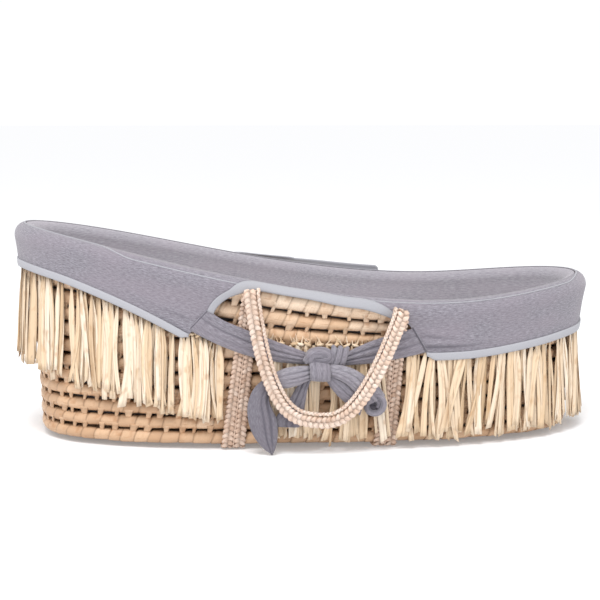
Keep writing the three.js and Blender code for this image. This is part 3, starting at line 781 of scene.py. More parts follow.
def handle_line(inset):
    """Centre line of a handle plait that hangs on the front, with a turn round the hinge line at each end."""
    head, foot = [np.array([x, HINGE_Y, rim_top(x) - HINGE_BELOW_RIM]) for _, x in STRAPS.values()]
    middle = (head + foot) / 2
    lengthwise = unit_rows(foot - head)
    downward = -unit_rows(np.array([0, 0, 1.0]) - lengthwise * lengthwise[2])
    span = np.linalg.norm(foot - head) / 2 + 5
    u = np.linspace(-1, 1, 160)
    s = 0.35 * np.sin(u * math.pi / 2) + 0.65 * u
    n = np.where(s < 0, *HANDLE_FULLNESS)
    slope = unit_rows(stacked(span, HANDLE_DROP * n * power(s, n - 1)))
    x = span * s - slope[:, 1] * inset
    drop = HANDLE_DROP * (1 - np.abs(s) ** n) - slope[:, 0] * inset
    curve = middle + x[:, None] * lengthwise + drop[:, None] * downward
    across = -slope[:, 1:2] * lengthwise - slope[:, :1] * downward
    turns = np.linspace(0.15, 1.45, 14)[:, None] * math.pi
    round_hinge = ROLL_RADIUS * (np.cos(turns) * np.array([0, 1.0, 0]) + np.sin(turns) * downward)
    first, last = [curve[end] + np.array([0, ROLL_RADIUS, 0]) - round_hinge for end in (0, -1)]
    path = np.concatenate([first[::-1], curve, last])
    directions = np.pad(across, ((len(turns), len(turns)), (0, 0)), "edge")
    rows = resampled(np.concatenate([path, directions], 1), 1.8)
    return rows[:, :3], rows[:, 3:]


def add_handles():
    mirror = np.array([1, -1, 1])
    for body, side in (("front_handle", FRONT), ("rear_handle", REAR)):
        for label, inset, width, pitch in (("outer", 1.0, 15.5, 21.0), ("inner", 12.2, 7.6, 15.0)):
            surface = Surface()
            path, across = handle_line(inset)
            if side == REAR:
                path, across = path * mirror, across * mirror
            plait(surface, path, across, width, 7.2, pitch, 0.72)
            surface.piece(f"{body}_{label}_plait", PLAIT, body)


# ---- Cover ----

OPENING = {"head": -137.5, "head_drop": 51, "foot": 120.5, "foot_drop": 37, "head_turn": -75, "foot_turn": 50}
OPENING_CURVE = 0.62
SKIRTS_MEET = -8  # x where the two skirts meet over a handle
EDGE_DROP = 3.5
SKIN_TURN, SKIN_OUT = 15.0, 15.2  # the cover's turn over the rim coil: its height and reach
BINDING = 10
SEAM_HEAD = {"x": -159, "drop": 96, "end_drop": 58}
SEAM_FOOT = {"x": 136, "drop": 80, "end_drop": 77}
FLOOR_SQUARENESS = 2.7


def cloth_drop(x):
    """Drop of the cover cloth's lower edge below the rim top, above its tape."""
    head_x, head_drop, head_end = SEAM_HEAD["x"], SEAM_HEAD["drop"] - BINDING, SEAM_HEAD["end_drop"] - BINDING
    foot_x, foot_drop, foot_end = SEAM_FOOT["x"], SEAM_FOOT["drop"] - BINDING, SEAM_FOOT["end_drop"] - BINDING
    head = np.clip((head_x - x) / (RIM_HALF_LENGTH + head_x), 0, 1)
    foot = np.clip((x - foot_x) / (RIM_HALF_LENGTH - foot_x), 0, 1)
    head_edge = head_end + (head_drop - head_end) * (1 - head) ** 2
    foot_edge = foot_drop + (foot_end - foot_drop) * foot
    head_seam = np.interp(x, [head_x, OPENING["head"]], [head_drop, OPENING["head_drop"]])
    foot_seam = np.interp(x, [OPENING["foot"], foot_x], [OPENING["foot_drop"], foot_drop])
    edge = EDGE_DROP + 2.5 * smooth((x + 20) / 60)
    opened = edge
    for end in ("head", "foot"):
        start, corner = OPENING[end], OPENING[end + "_drop"]
        share = np.clip((x - start) / (OPENING[end + "_turn"] - start), 0, 1)
        round_share = (1 - (1 - share) ** 2) ** OPENING_CURVE
        opened = np.maximum(opened, corner + (edge - corner) * round_share)
    return np.select([x <= head_x, x <= OPENING["head"], x < OPENING["foot"], x < foot_x],
                     [head_edge, head_seam, opened, foot_seam], foot_edge)


def skin_point(t, drop, lift=0.0):
    """A point on the outside of the cover at a drop below the rim top: round the rim coil, then hanging."""
    top = coil_top(t) + OVER_RIM
    angle = np.clip(1 - drop / SKIN_TURN, 0, 1) * math.pi / 2
    turning = drop < SKIN_TURN
    hang = SKIN_OUT + 1.6 * smooth((drop - 30) / 50)
    out = np.where(turning, SKIN_OUT * np.cos(angle), hang) + lift
    z = np.where(turning, top - SKIN_TURN + SKIN_TURN * np.sin(angle), top - drop)
    point = wall_point(t, np.minimum(z, top - 17), out)
    point[..., 2] = z + lift * np.where(turning, np.sin(angle), 0)
    return point


def round_angles(from_x, end, step):
    """Angles from one side's x round the head or foot end to the other side's, evenly by length."""
    front, rear = angle_at(from_x, ABOVE_RIM, FRONT), angle_at(from_x, ABOVE_RIM, REAR)
    first, last = (rear, front) if end == "head" else (front - 2 * math.pi, rear)
    t = np.linspace(first, last, 2000)
    total, angle_of = evenly(t, wall_point(t, coil_top(t)))
    return angle_of(np.linspace(0, total, int(total / step)))


def rippled(points, t, drop):
    """The skirt's points, standing off their even shape: soft waves below, creases by the tie seams."""
    s = t * 300
    wave = 0.55 * np.sin(s / 31) + 0.45 * np.sin(s / 17 + 1.3) + 0.3 * np.sin(s / 71 + drop / 23)
    lift = wave * smooth((drop - 18) / 40) + creases(t, drop)[0]
    return points + lift[..., None] * outward_at(t, coil_top(t))


# Creases of the skirt: x of the seam that each starts from, the way it runs, its drop there, and its slope,
# strength and reach.
CREASES = [(SEAM_HEAD["x"], -1, 82, -0.40, 1.5, 40), (SEAM_HEAD["x"], -1, 62, -0.14, 1.2, 50),
           (SEAM_FOOT["x"], 1, 57, 0.0, 3.6, 62), (SEAM_FOOT["x"], 1, 42, 0.12, 1.6, 50)]


def creases(t, drop):
    """Folds that run out over the skirt from the tie seams: how far they stand out, and the painted shade
    along each, just below its ridge.
    """
    x = RIM_HALF_LENGTH * np.cos(t)
    lift, shade = 0 * drop, 0 * drop
    for seam, way, first_drop, slope, strength, reach in CREASES:
        away = (x - seam) * way
        off = drop - (first_drop + slope * away)
        along = strength * smooth((away + 6) / 14) * np.exp(-(np.clip(away, 0, 400) / reach) ** 2)
        lift = lift + along * np.exp(-(off / 4.5) ** 2)
        shade = shade + 0.3 * along * np.exp(-((off - 4.0) / 1.9) ** 2)
    return lift, np.clip(shade, 0, 0.7)


def add_skirt(end):
    """A flap of the cover round one end; the two meet on the handle openings' upper edge."""
    t = round_angles(SKIRTS_MEET, end, 2.5)[:, None]
    edge = cloth_drop(RIM_HALF_LENGTH * np.cos(t)) + 1.5
    drop = edge * np.linspace(0, 1, 26) ** 0.85
    outer = rippled(skin_point(t + 0 * drop, drop, 0.9), t, drop)
    surface = Surface()
    surface.cloth(outer, 1.1, shade=creases(t, drop)[1])
    made = surface.piece(f"{end}_skirt", JERSEY)
    declare_sheet(outer, [add_skirt_tape(end)], lengths(outer[:, 12])[-1] * MM)


def declare_sheet(outer, with_pieces=(), length=None):
    """Works out a strip of cloth's mean length when none is given; nothing is done with it."""
    if length is None:
        length = np.linalg.norm(np.diff(outer, axis=0), axis=2).sum(0).mean() * MM


def add_skirt_tape(end):
    """Folded tape along the skirt's lower edge, hanging down from it."""
    t = round_angles(SEAM_HEAD["x"] if end == "head" else SEAM_FOOT["x"], end, 4.0)
    v = np.linspace(0, 1, 6)
    from_end = np.minimum(np.arange(len(t)), np.arange(len(t))[::-1])
    taper = 0.35 + 0.65 * smooth(from_end / 3)
    t = t[:, None]
    drop = cloth_drop(RIM_HALF_LENGTH * np.cos(t)) + BINDING * taper[:, None] * v
    outer = rippled(skin_point(t + 0 * drop, drop, 1.3 + 0.5 * np.sin(math.pi * v)), t, drop)
    surface = Surface()
    surface.cloth(outer, 2.4)
    return surface.piece(f"{end}_skirt_tape", TAPE)


def add_opening_tape(name, side):
    """Tape round a handle opening, square to the edge that it follows. The rear one stands over the rim."""
    foot_end = 109 if side == FRONT else 146
    corner = OPENING["head"] + 68.5 * np.linspace(0.03, 1, 30) ** 2
    x = np.concatenate([corner, np.linspace(-70, foot_end, 64)])
    drop = cloth_drop(x)
    if side == REAR:
        free = EDGE_DROP + 2
        drop = np.where(x > 0, free + (drop - free) * smooth((x - 131) / 14), drop)
    line = resampled(stacked(x, drop, 0), 3.0)[:, :2]
    heading = tangents(line)
    inward = stacked(-heading[:, 1], heading[:, 0])
    spot = line[:, None] + inward[:, None] * np.linspace(-0.5, BINDING - 2, 6)[:, None]
    lift = 1.9 + 0.5 * np.sin(math.pi * np.linspace(0, 1, 6))
    outer = skin_point(angle_at(spot[..., 0], ABOVE_RIM, side), spot[..., 1], lift)
    if side == REAR:
        past_head = line[:, :1] + 125
        upper = smooth((149 - line[:, :1]) / 9) * np.linspace(1, 0.2, 6)
        outer[..., 1] += upper * (4.0 + 3.5 * smooth(past_head / 180)) * smooth(past_head / 50)
        outer[..., 2] += 8.0 * upper * smooth(past_head / 180)
        outer = outer[::-1]
    surface = Surface()
    surface.cloth(outer, 1.8, shade=0.22 if side == FRONT else 0)
    return surface.piece(f"{name}_opening_tape", TAPE)


def add_lining():
    """The inside of the cover, from the floor up the wall and over the rim to the seam on top."""
    dense = np.linspace(0, 2 * math.pi, 2001)
    total, angle_of = evenly(dense, wall_point(dense, coil_top(dense)))
    t = angle_of(np.linspace(0, total, 361)[:-1])
    v = np.linspace(0, 1, 22)
    bend = coil_top(t) + OVER_RIM - 16  # where the cloth starts to turn over the rim coil
    low = FLOOR_Z + 2
    z = low + (bend[:, None] - low) * v
    tuck = 7 * np.exp(-v * 9)
    sag = 1.2 * np.sin(9 * t[:, None] + 3 * v) * np.sin(math.pi * v) + 0.8 * np.sin(23 * t[:, None]) * (1 - v)
    inner = wall_point(t[:, None] + 0 * z, z, -14.2 - tuck - sag)
    arc = np.linspace(0.12, 1, 9) * math.pi * 0.5
    over = np.stack([wall_point(t, bend, -14.8 * np.cos(a)) for a in arc], 1)
    over[..., 2] += 16.9 * np.sin(arc)
    outer = np.concatenate([inner, over], 1)
    shade = np.concatenate([0.25 * np.exp(-v * 6), 0 * arc])
    surface = Surface()
    # Tone 1.0 is painted light: the lining is drawn lighter than the same cloth outside.
    surface.cloth(outer[::-1], 1.1, 1.0, shade, loop=True, grain=cloth_grain(outer))
    made = surface.piece("cover_lining", JERSEY)
    seams = [add_rim_seam(t), add_opening_tape("front", FRONT), add_opening_tape("rear", REAR)]


def add_rim_seam(t):
    """The seam that joins lining and skirt along the rim. The ties pull it down on the front."""
    x = RIM_HALF_LENGTH * np.cos(t)
    head_pull = 8.0 * smooth((x + 300) / 60) * smooth((-40 - x) / 40)
    foot_pull = 5.4 * smooth((x + 5) / 45) * smooth((402 - x) / 40)
    front = t > math.pi
    centre = skin_point(t, 0.8 + np.where(front, head_pull + foot_pull, 0), 1.6)
    along = tangents(centre, True)
    side = unit_rows(np.cross(along, [0, 0, 1.0]))
    surface = Surface()
    thread(surface, centre, lengths(centre), side, np.cross(side, along), (1.1, 0.8), 0.5, 0.1, loop=True)
    return surface.piece("rim_seam", TAPE, in_cad=False)


def add_cover_floor():
    low, high = node_box("cover_floor")
    t = circle(240)[:, None]
    share = np.linspace(1.0, 0.02, 12)
    x = high[0] * share * power(np.cos(t), 2 / FLOOR_SQUARENESS)
    y = high[1] * share * power(np.sin(t), 2 / FLOOR_SQUARENESS)
    outer = stacked(x, y, low[2] + 1.8 + 0.35 * np.sin(x / 37) * np.sin(y / 29))
    surface = Surface()
    surface.cloth(outer, -1.1, loop=True, grain=outer)
    made = surface.piece("cover_floor", JERSEY)


# ---- Ties and bows ----

def on_wall(rows):
    """Rows of [x, z, out] pairs turned into [x, z, distance from the middle plane] pairs."""
    rows = np.array(rows, float)
    for column in (0, 3):
        x, z, out = rows[:, column], rows[:, column + 1], rows[:, column + 2]
        rows[:, column + 2] = -wall_at_x(x, z, out)[:, 1]
    return rows


def band(surface, rows, folds, side, crown=2.0, thick=1.6, count=44, ragged=0.0, painted_shade=0.0, tone=0.5):
    """A strip of cloth between two edges. A row is [xa, za, ya, xb, zb, yb], with y as a distance outwards.
    A fold is (place at the start, place at the end, depth at the start, depth at the end), from a to b."""
    path = smooth_path(rows, count)
    path[:, [2, 5]] *= side
    ends_a, ends_b = path[:, [0, 2, 1]], path[:, [3, 5, 4]]
    v = np.linspace(0, 1, 26)
    u = np.linspace(0, 1, count)[:, None]
    outer = ends_a[:, None] * (1 - v)[:, None] + ends_b[:, None] * v[:, None]
    lift = crown * (1 - np.abs(2 * v - 1) ** 3) + 0 * u
    # Painted shade over the whole strip, more at its edges and in the valleys of the folds.
    shade = painted_shade + 0.12 * np.abs(2 * v - 1) ** 6 + 0 * u
    for start, end, depth_start, depth_end in folds:
        depth = depth_start + (depth_end - depth_start) * u
        away = v - (start + (end - start) * u + 0.02 * np.sin(5 * u + 9 * start))
        valley = np.exp(-np.abs(away) / 0.055)
        ridge = 0.45 * np.exp(-((away - 0.13) / 0.12) ** 2)
        lift = lift + depth * (ridge - valley)
        shade = shade + 0.72 * np.clip(depth / 2.4, 0, 1) * np.exp(-(away / 0.05) ** 2)
    outer[..., 1] += lift * side
    outer[..., 2] += ragged * u ** 3 * np.sin(v * 16)
    if side == REAR:
        outer, shade = outer[:, ::-1], shade[:, ::-1]
    surface.cloth(outer, thick, tone, np.clip(shade, 0, 0.8))
    return outer


# Strips of cloth on each side: how each is held, its rows and folds for band(), and its form.
# The tails and the loop underneath get painted shade over the whole strip, as they lie in shadow.
CLOTHS = {
    "bow_knot": (
        "folded",
        [[-9, 129, 207, 13, 126, 207], [-12, 127, 215, 15.5, 122.5, 215], [-12.5, 121, 219, 16, 117, 219],
         [-12, 112, 220, 16.5, 110, 220], [-11.5, 105, 218.5, 16.5, 103, 218.5],
         [-10.5, 101, 214, 15.5, 99.5, 214], [-8, 99.5, 207, 13, 98.5, 207]],
        [(0.26, 0.34, 1.3, 0.4), (0.6, 0.52, 0.4, 1.2), (0.8, 0.82, 0.9, 0.9)],
        {"crown": 4.5, "thick": 3.0, "count": 30}),
    "bow_tip": (
        "gathered",
        [[12, 120, 210, 34, 117, 209], [15.5, 132, 215, 37, 127, 213], [17, 141, 216.5, 39, 136, 215],
         [18, 148, 215.5, 41.5, 145, 214]],
        [(0.3, 0.34, 2.4, 2.2), (0.66, 0.7, 1.8, 2.4)],
        {"thick": 1.3, "count": 24, "ragged": 2.2}),
    "bow_tail_head": (
        "hung",
        [[-56, 108, 207, -56, 90, 207], [-66, 105.5, 210.5, -64, 86, 210], [-79, 99, 213, -66, 79, 212],
         [-89, 87.5, 214, -65, 71, 213], [-94.5, 72, 214.5, -61, 61, 214],
         [-95.5, 57, 214.5, -56.5, 50, 214.5], [-92, 38, 214.5, -54.5, 34, 214.5],
         [-84, 21, 214, -55.5, 19, 214.5], [-73, 8, 213.5, -58, 8, 214], [-63.5, 1.2, 213, -61.5, 1.0, 213]],
        [(0.55, 0.5, 1.0, 1.6), (0.8, 0.78, 1.8, 0.6), (0.97, 0.66, 2.4, 0.2)],
        {"crown": 3.2, "count": 60, "painted_shade": 0.38}),
    "bow_tail_back": (
        "hung",
        [[-24, 103, 208, -8, 104, 208], [-30, 90, 209, -14, 88, 209], [-40, 73, 210, -17, 71, 210],
         [-52, 58, 210.5, -19.5, 56, 210.5], [-59, 47, 210.5, -23, 41, 210.5],
         [-58, 38, 210, -26, 36.5, 210]],
        [(0.4, 0.45, 1.8, 1.2), (0.75, 0.7, 1.2, 1.4)],
        {"count": 34, "painted_shade": 0.3}),
    # The two upper loops' tone of 0.7 is painted light: the same cloth drawn lighter.
    "bow_loop_head": (
        "gathered",
        [[-9, 121, 211, -9, 102, 211], [-16, 121.5, 215, -17, 99.5, 215], [-28, 121.5, 217, -29, 94.5, 217],
         [-44, 119, 216.5, -45, 91, 216.5], [-56, 113.5, 213.5, -56, 90.5, 214],
         [-64, 107, 208, -62, 91, 208]],
        [(0.30, 0.40, 2.4, 0.5), (0.60, 0.55, 2.2, 0.4), (0.84, 0.72, 1.8, 0.6)],
        {"crown": 3.6, "count": 34, "tone": 0.7}),
    "bow_loop_foot": (
        "gathered",
        [[13, 121, 211, 13, 109, 212], [22, 121.5, 215, 22, 106, 216], [34, 120, 217, 32, 101, 217],
         [47, 115.5, 217, 41, 94.5, 217], [60, 107.5, 216, 49, 86, 216], [72, 98, 215, 57, 78, 215],
         [83, 88.5, 213, 64, 72, 213], [90, 78, 210, 70, 68, 211]],
        [(0.30, 0.44, 2.2, 2.6), (0.62, 0.70, 2.2, 1.4), (0.85, 0.86, 1.4, 0.8)],
        {"crown": 3.6, "tone": 0.7}),
    "bow_loop_under": (
        "gathered",
        [[12, 112, 210, 12, 101, 210], [22, 108, 212.5, 18, 91, 212.5], [33, 101, 213.5, 27, 80, 213.5],
         [44, 91, 213.5, 38, 69.5, 213.5], [54, 80, 212.5, 50, 59, 212.5], [60, 72, 210, 57, 52, 210]],
        [(0.5, 0.5, 1.6, 1.2)],
        {"crown": 2.6, "count": 34, "painted_shade": 0.22}),
    "tie_head": (
        "gathered",
        on_wall([[-147, 197, 17.2, -172, 170, 17.2], [-143, 193, 18.2, -167, 165.5, 18.4],
                 [-127, 182, 19.0, -143, 153, 19.6], [-108, 174, 20.5, -116, 141.5, 20.8],
                 [-84, 164, 21.0, -86, 131.5, 21.5], [-60, 154.5, 21.0, -60, 126, 22.0],
                 [-38, 146, 21.0, -38, 123.5, 22.0], [-18, 138, 21.5, -16, 122, 22.5],
                 [-6, 133, 21.0, -4, 122, 22.0]]),
        [(0.40, 0.50, 1.0, 3.8), (0.72, 0.74, 0.3, 1.8), (0.20, 0.24, 0.4, 1.5)],
        {"thick": 1.3, "count": 60}),
    "tie_foot": (
        "gathered",
        on_wall([[131, 170, 17.2, 151, 136, 17.2], [126, 167, 18.2, 145.5, 133, 18.4],
                 [112, 164.5, 20.0, 122, 128.5, 20.5], [93, 158.5, 21.0, 98, 124.5, 21.5],
                 [72, 152, 21.0, 74, 121, 22.0], [50, 142.5, 21.0, 50, 119.5, 22.5],
                 [32, 134, 21.5, 31, 118, 23.0], [16, 129, 21.5, 14, 117, 23.0]]),
        [(0.30, 0.36, 0.6, 3.2), (0.60, 0.66, 0.9, 3.0), (0.85, 0.84, 0.2, 1.6)],
        {"thick": 1.3, "count": 60}),
}
NOT_IN_CAD = ("bow_tip", "bow_tail_back", "bow_loop_under")


def add_cloth(name, side, part, with_pieces=(), sewn=None):
    """One strip of a bow or tie. sewn is the row across it where a thread of stitches shows, darkened with
    painted shade for the shadow along the seam.
    """
    held, rows, folds, form = CLOTHS[part]
    surface = Surface()
    outer = band(surface, rows, folds, side, **form)
    if sewn:
        path = outer[sewn] + np.array([0, side * 1.1, 0])
        along = tangents(path)
        across = unit_rows(np.cross(along, [0.3, 1.0, 0.2]))
        thread(surface, path, lengths(path), across, np.cross(across, along), (0.8, 0.8), 0.5, 0.8)
    made = surface.piece(f"{name}_{part}", JERSEY, in_cad=part not in NOT_IN_CAD)
    declare_sheet(outer, with_pieces)


def tube_bundle(surface, path, side, pleats, depth, twist, painted_shade):
    """A gathered roll of cloth along rows of [x, z, distance outwards, half size across, half outwards]."""
    rows = smooth_path(path, 60)
    centre = stacked(rows[:, 0], side * rows[:, 2], rows[:, 1])
    forward = tangents(centre)
    across = unit_rows(np.cross(forward, [0, float(side), 0]))
    outward = np.cross(across, forward)
    angle = circle(24)
    share = np.linspace(0, 1, len(centre))[:, None]
    wave = np.cos(pleats * angle + twist * share)
    fold = 1 + depth * wave
    rings = reached(centre, (rows[:, 3:4] * np.cos(angle) * fold, across),
                    (rows[:, 4:5] * np.sin(angle) * fold, outward))
    # Painted shade in the pleats' valleys, and more towards the end of the roll.
    shade = np.clip(-wave, 0, 1) ** 2 * 0.35 + painted_shade * share ** 2
    surface.tubes(rings, stacked(lengths(centre)[:, None], angle * 9, 0), 0.5, shade)


def add_bow(name, side):
    """One bow with the two ties that run to it."""
    add_cloth(name, side, "bow_knot")
    crossing = add_crossing(name, side)
    for part in ("bow_tip", "bow_tail_head", "bow_tail_back"):
        add_cloth(name, side, part)
    curl = add_curl(name, side)
    add_cloth(name, side, "bow_loop_head")
    add_cloth(name, side, "bow_loop_foot", with_pieces=[curl])
    add_cloth(name, side, "bow_loop_under")
    add_cloth(name, side, "tie_head", sewn=3)
    add_cloth(name, side, "tie_foot", with_pieces=[crossing], sewn=4)


def add_crossing(name, side):
    """The twist of cloth above the knot, where the two ties cross."""
    turns = np.linspace(-0.9, 1.05, 12)[::-1] * math.pi
    rows = [[1.5 + 12.2 * math.cos(a), 133.5 + 5.6 * math.sin(a), 213.5 + 1.5 * math.sin(a), 7.2, 6.2]
            for a in turns]
    rows = [[-17, 126, 209, 5, 5]] + rows + [[3, 134, 210, 3, 4]]
    surface = Surface()
    # Painted shade, growing towards the end of the twist.
    tube_bundle(surface, rows, side, 5, 0.10, twist=9, painted_shade=0.4)
    return surface.piece(f"{name}_tie_crossing", JERSEY)


def add_curl(name, side):
    """The foot loop's end rolls up on itself and is seen end-on. Its dark middle is painted shade, on the
    inner turns and on a strip of cloth set inside the roll.
    """
    x, z, middle_y = 75.5, 65.5, 206
    turns = np.linspace(0, 1, 16)
    angle = math.radians(112) - turns * 2 * math.pi * 1.42
    radius = 15.5 - 10.0 * turns
    half = 5.2 - 2.0 * turns
    rows = stacked(x + radius * np.cos(angle), z + radius * np.sin(angle), 211.5 - 1.5 * turns,
                   half, half + 1)
    surface = Surface()
    tube_bundle(surface, rows, side, 3, 0.07, twist=2, painted_shade=0.55)
    middle = [[x - 13, z + 9, middle_y, x - 9, z - 13, middle_y], [x, z + 14, middle_y, x, z - 15, middle_y],
              [x + 13, z + 9, middle_y, x + 9, z - 13, middle_y]]
    band(surface, middle, [(0.5, 0.5, 2.0, 2.0)], side, crown=0.5, count=12, painted_shade=0.6)
    return surface.piece(f"{name}_bow_tail_foot", JERSEY)


# ---- Fringe ----

DOWN = np.array([0, 0, -1.0])


def fringe_bottom(x):
    """Height at which the fringe ends: level over the foot half, and rising towards the head."""
    return 18 + 94 * np.clip(-x / RIM_HALF_LENGTH, 0, 1) ** 1.2


def knot_level(t):
    """Height of the fringe's knots: under the third row below the rim, or just under the cover's tape."""
    _, unit = row_levels(t)
    x = RIM_HALF_LENGTH * np.cos(t)
    under_rows = coil_top(t) - RIM_COIL_HEIGHT - 2 * unit
    tape_edge = rim_top(x) - cloth_drop(x) - BINDING
    beyond = (x < SEAM_HEAD["x"]) | (x > SEAM_FOOT["x"])
    return np.where(beyond, np.maximum(under_rows, tape_edge), under_rows)


def ribbons(surface, t, layer, width_range, lean_range):
    """Flat leaf ribbons, each folded lengthwise a little, hanging from the knots at angles t."""
    count = len(t)
    v = np.linspace(0, 1, 14)
    x = RIM_HALF_LENGTH * np.cos(t)
    top = knot_level(t) + rng.uniform(-1, 1, count)
    bottom = fringe_bottom(x) + rng.normal(2, 6, count)
    length = (top - np.maximum(bottom, 4))[:, None]
    outward = outward_at(t, top)[:, None]
    along = np.cross(outward, DOWN)
    belly = rng.uniform(0, 2.0, count)[:, None]
    flare = (rng.uniform(-1.5, 3.0, count) + 5 * np.abs(x / RIM_HALF_LENGTH) ** 4)[:, None]
    lean = (rng.normal(0, 1, count) * lean_range(x) + 2 * np.sin(x / 40))[:, None]
    bend = rng.normal(0, 3.5, count)[:, None]
    out = COIL_HALF + 2.2 + layer + belly * np.sin(math.pi * v) + flare * v ** 2
    shift = lean * v + bend * np.sin(math.pi * v)
    middle = wall_point(t, top)[:, None] + out[..., None] * outward + shift[..., None] * along
    middle[..., 2] = top[:, None] - length * v
    turn = (rng.normal(0, 0.25, count)[:, None] + rng.normal(0, 0.3, count)[:, None] * v)[..., None]
    wide = np.cos(turn) * along + np.sin(turn) * outward
    face = np.cos(turn) * outward - np.sin(turn) * along
    half = rng.uniform(*width_range, count)[:, None] * (0.3 + 0.7 * smooth(v * 3.2 + 0.1))
    half = (half * (1 - 0.12 * np.sin(v * 5 + rng.uniform(0, 6, count)[:, None])))[..., None]
    q = np.array([-1, -0.62, -0.28, 0, 0.28, 0.62, 1.0])
    crease = rng.uniform(-0.5, 0.5, count)[:, None, None]
    fold = rng.uniform(-0.3, 0.42, count)[:, None, None] * np.abs(q - crease)
    fold = fold + 0.12 * np.cos(q * 9 + 5 * crease)
    front = reached(middle, (half * q, wide), (half * fold, face))
    front[:, -1, :, 2] += rng.normal(0, 1.6, count)[:, None] * q
    back = front - 0.45 * face[:, :, None]
    rings = np.concatenate([front, back[:, :, ::-1]], 2)
    seed = rng.uniform(0, 900, count)[:, None, None]
    across = np.concatenate([q, q[::-1]])
    grain = stacked((length * v)[..., None] + seed, half * across + seed, 0)
    painted_shade_behind = 0.10 * (layer < 1)  # painted shade: the ribbons behind get a lower tone and more shade
    tone = np.clip(rng.normal(0.60, 0.24, count) - painted_shade_behind, 0, 1)[:, None, None]
    # Painted shade near each ribbon's top under its knot, along its fold and at its edges.
    line = 0.22 * np.exp(-((across - crease) / 0.18) ** 2) + 0.22 * np.abs(across) ** 6
    shade = np.clip(0.35 * np.exp(-v * 14) + painted_shade_behind, 0, 1)[:, None] + line
    surface.tubes(rings, grain, tone, shade)


def knots(surface, t):
    """A half hitch of leaf at each place where ribbons hang: a small bar round their tops."""
    level = knot_level(t) + 1
    outward = outward_at(t, level)
    v = np.linspace(-1, 1, 7)
    angle = circle(8)
    bow = 1.4 * (1 - v ** 2) - 1.6 * v ** 4
    tilt = rng.normal(0, 0.25, len(t))[:, None]
    middle = wall_point(t, level, COIL_HALF + 2.4)
    centre = reached(middle, (5.0 * v, np.cross(outward, DOWN)), (bow, outward))
    centre[..., 2] += tilt * 5.0 * v
    radius = (1.9 * (1 - 0.35 * v ** 2))[:, None]
    rings = reached(centre, (radius * np.cos(angle), outward[:, None]),
                    (radius * np.sin(angle), -1.25 * DOWN))
    grain = stacked((4 * v)[:, None] + t[:, None, None] * 90, 4 * np.sin(angle), 4 * np.cos(angle))
    surface.tubes(rings, grain, spread_tone(0.45, 0.2, len(t))[:, None, None], 0.05)


def frays(surface, t):
    """Short split ends of leaf that stick up and out above the knots."""
    t = np.repeat(t, 4) + rng.normal(0, 4, 4 * len(t)) / RIM_HALF_LENGTH
    count = len(t)
    level = knot_level(t)
    outward = outward_at(t, level)
    along = np.cross(outward, DOWN)
    v = np.linspace(0, 1, 5)
    reach = rng.uniform(6, 16, count)[:, None] * v
    lean = rng.normal(0, 0.45, count)[:, None]
    middle = reached(wall_point(t, level, COIL_HALF + 1.5), (reach * lean, along), (1.6 * v, outward))
    middle[..., 2] += reach
    angle = circle(6)
    wide = (rng.uniform(0.7, 1.8, count)[:, None] * (1 - 0.8 * v))[..., None] * np.cos(angle)
    rings = reached(middle, (wide, along[:, None]), (0.3 * np.sin(angle), outward[:, None]))
    grain = stacked(reach[..., None] + t[:, None, None] * 300, wide, 0)
    surface.tubes(rings, grain, spread_tone(0.6, 0.25, count)[:, None, None])


def fringe_angles(first, last, step):
    """Angles of the knots along one run of fringe, nearly evenly spaced."""
    t = np.linspace(first, last, 2000)
    total, angle_of = evenly(t, wall_point(t, knot_level(t)))
    count = int(total / step)
    return angle_of((np.arange(count) + 0.5) * step + rng.uniform(-0.3, 0.3, count) * step)


def tails(knot_angles, spread, extra):
    """Angles of the ribbons: one under each knot, and a share of the knots have more to their sides."""
    per_length = 1 / (RIM_HALF_LENGTH * 0.8)
    below = knot_angles + rng.normal(0, 1.5, len(knot_angles)) * per_length
    beside = [knot_angles + (offset + rng.normal(0, 1.2, len(knot_angles))) * per_length
              for offset in (-spread, spread)]
    beside = np.concatenate(beside)
    return np.concatenate([below, beside[rng.uniform(0, 1, len(beside)) < extra]])


STRAP_CLEARANCES = {"head": 23, "foot": 15}  # from a strap's middle to the fringe at that end
FRINGE_STRAPS = {"head": -95, "foot": 105}  # x of the straps' middles at the knots
FRINGE_GAP = 20  # from a strap's middle to the fringe between the straps
KNOT_STEP, KNOT_HEIGHT = 12, 150


def fringe_spans():
    """First and last angle of each run of fringe; the straps stand between the runs."""
    def at(x, side):
        return angle_at(x, KNOT_HEIGHT, side)

    head_x, foot_x = FRINGE_STRAPS["head"], FRINGE_STRAPS["foot"]
    past_head, past_foot = head_x - STRAP_CLEARANCES["head"], foot_x + STRAP_CLEARANCES["foot"]
    between = head_x + FRINGE_GAP, foot_x - FRINGE_GAP
    return {
        "head": (at(past_head, REAR), at(past_head, FRONT)),
        "foot": (at(past_foot, FRONT) - 2 * math.pi, at(past_foot, REAR)),
        "front": (at(between[0], FRONT), at(between[1], FRONT)),
        "rear": (at(between[1], REAR), at(between[0], REAR)),
    }


def add_fringe():
    for name, (first, last) in fringe_spans().items():
        surface = Surface()
        hitches = fringe_angles(first, last, KNOT_STEP)
        ribbons(surface, tails(hitches, 4.0, 0.35), 0.0, (1.8, 4.6), lambda x: 4 + 5 * (x > 0))
        fewer = hitches[1::2] if name == "front" else hitches
        widest = 6.8 if name in ("front", "foot") else 5.6
        ribbons(surface, tails(fewer, 4.4, 0.45), 2.2, (2.4, widest), lambda x: 6 + 9 * (x > 0))
        knots(surface, hitches)
        frays(surface, hitches)
        surface.piece(f"fringe_{name}", RAFFIA)


# ---- Mattress ----

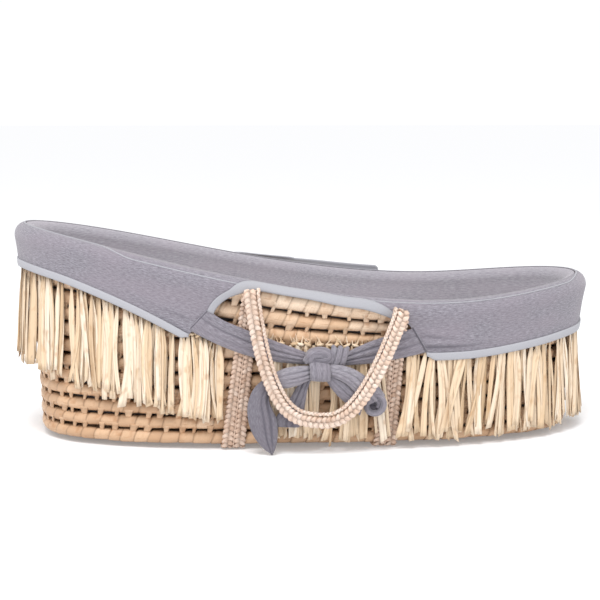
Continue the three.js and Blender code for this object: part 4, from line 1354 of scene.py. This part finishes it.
# Rings of the mattress from its underside to its top: a share of the size, and a share of the height.
MATTRESS_RINGS = [(0.02, 0), (0.5, 0), (0.9, 0), (0.98, 0.06), (1, 0.25), (1, 0.75), (0.98, 0.94), (0.9, 1),
                  (0.5, 1), (0.02, 1)]
MATTRESS_SQUARENESS = 2.6
MATTRESS_INSET = 4


def add_mattress():
    low, high = node_box("mattress")
    share, height = np.array(MATTRESS_RINGS, float).T[..., None]
    t = circle(160)
    x = (high[0] - MATTRESS_INSET) * share * power(np.cos(t), 2 / MATTRESS_SQUARENESS)
    y = (high[1] - MATTRESS_INSET) * share * power(np.sin(t), 2 / MATTRESS_SQUARENESS)
    rings = stacked(x, y, low[2] + 3 + (high[2] - low[2] - 8) * height)
    surface = Surface()
    surface.tubes(rings, rings)
    made = surface.piece("mattress", COTTON, None)
    puff(made)
    finish_piece(made, "mattress")


def puff(made):
    """Fills the mattress by cloth simulation, with how far each point may move kept small."""
    furthest = 0.004
    bpy.context.view_layer.objects.active = made
    remesh = made.modifiers.new("remesh", "REMESH")
    remesh.mode, remesh.voxel_size = "VOXEL", 0.007
    apply_modifiers(made)
    start = np.array([v.co for v in made.data.vertices])
    cloth = made.modifiers.new("cloth", "CLOTH")
    cloth.settings.use_pressure = True
    cloth.settings.uniform_pressure_force = 4
    cloth.settings.effector_weights.gravity = 0
    for step in range(1, 17):
        bpy.context.scene.frame_set(step)
    apply_modifiers(made)
    bpy.context.scene.frame_set(1)
    moved = np.array([v.co for v in made.data.vertices]) - start
    reach = np.linalg.norm(moved, axis=1, keepdims=True)
    ended = start + moved * np.minimum(1, furthest / np.maximum(reach, 1e-9))
    made.data.vertices.foreach_set("co", ended.astype(np.float32).ravel())
    made.data.shade_smooth()
    made.data.update()


def apply_modifiers(made):
    graph = bpy.context.evaluated_depsgraph_get()
    mesh = bpy.data.meshes.new_from_object(made.evaluated_get(graph))
    made.modifiers.clear()
    made.data = mesh


add_camera()
add_stage()
add_wall()
add_base()
add_straps()
add_handles()
add_lining()
add_cover_floor()
for cover_end in ("head", "foot"):
    add_skirt(cover_end)
for bow, bow_side in (("front", FRONT), ("rear", REAR)):
    add_bow(bow, bow_side)
add_fringe()
add_mattress()
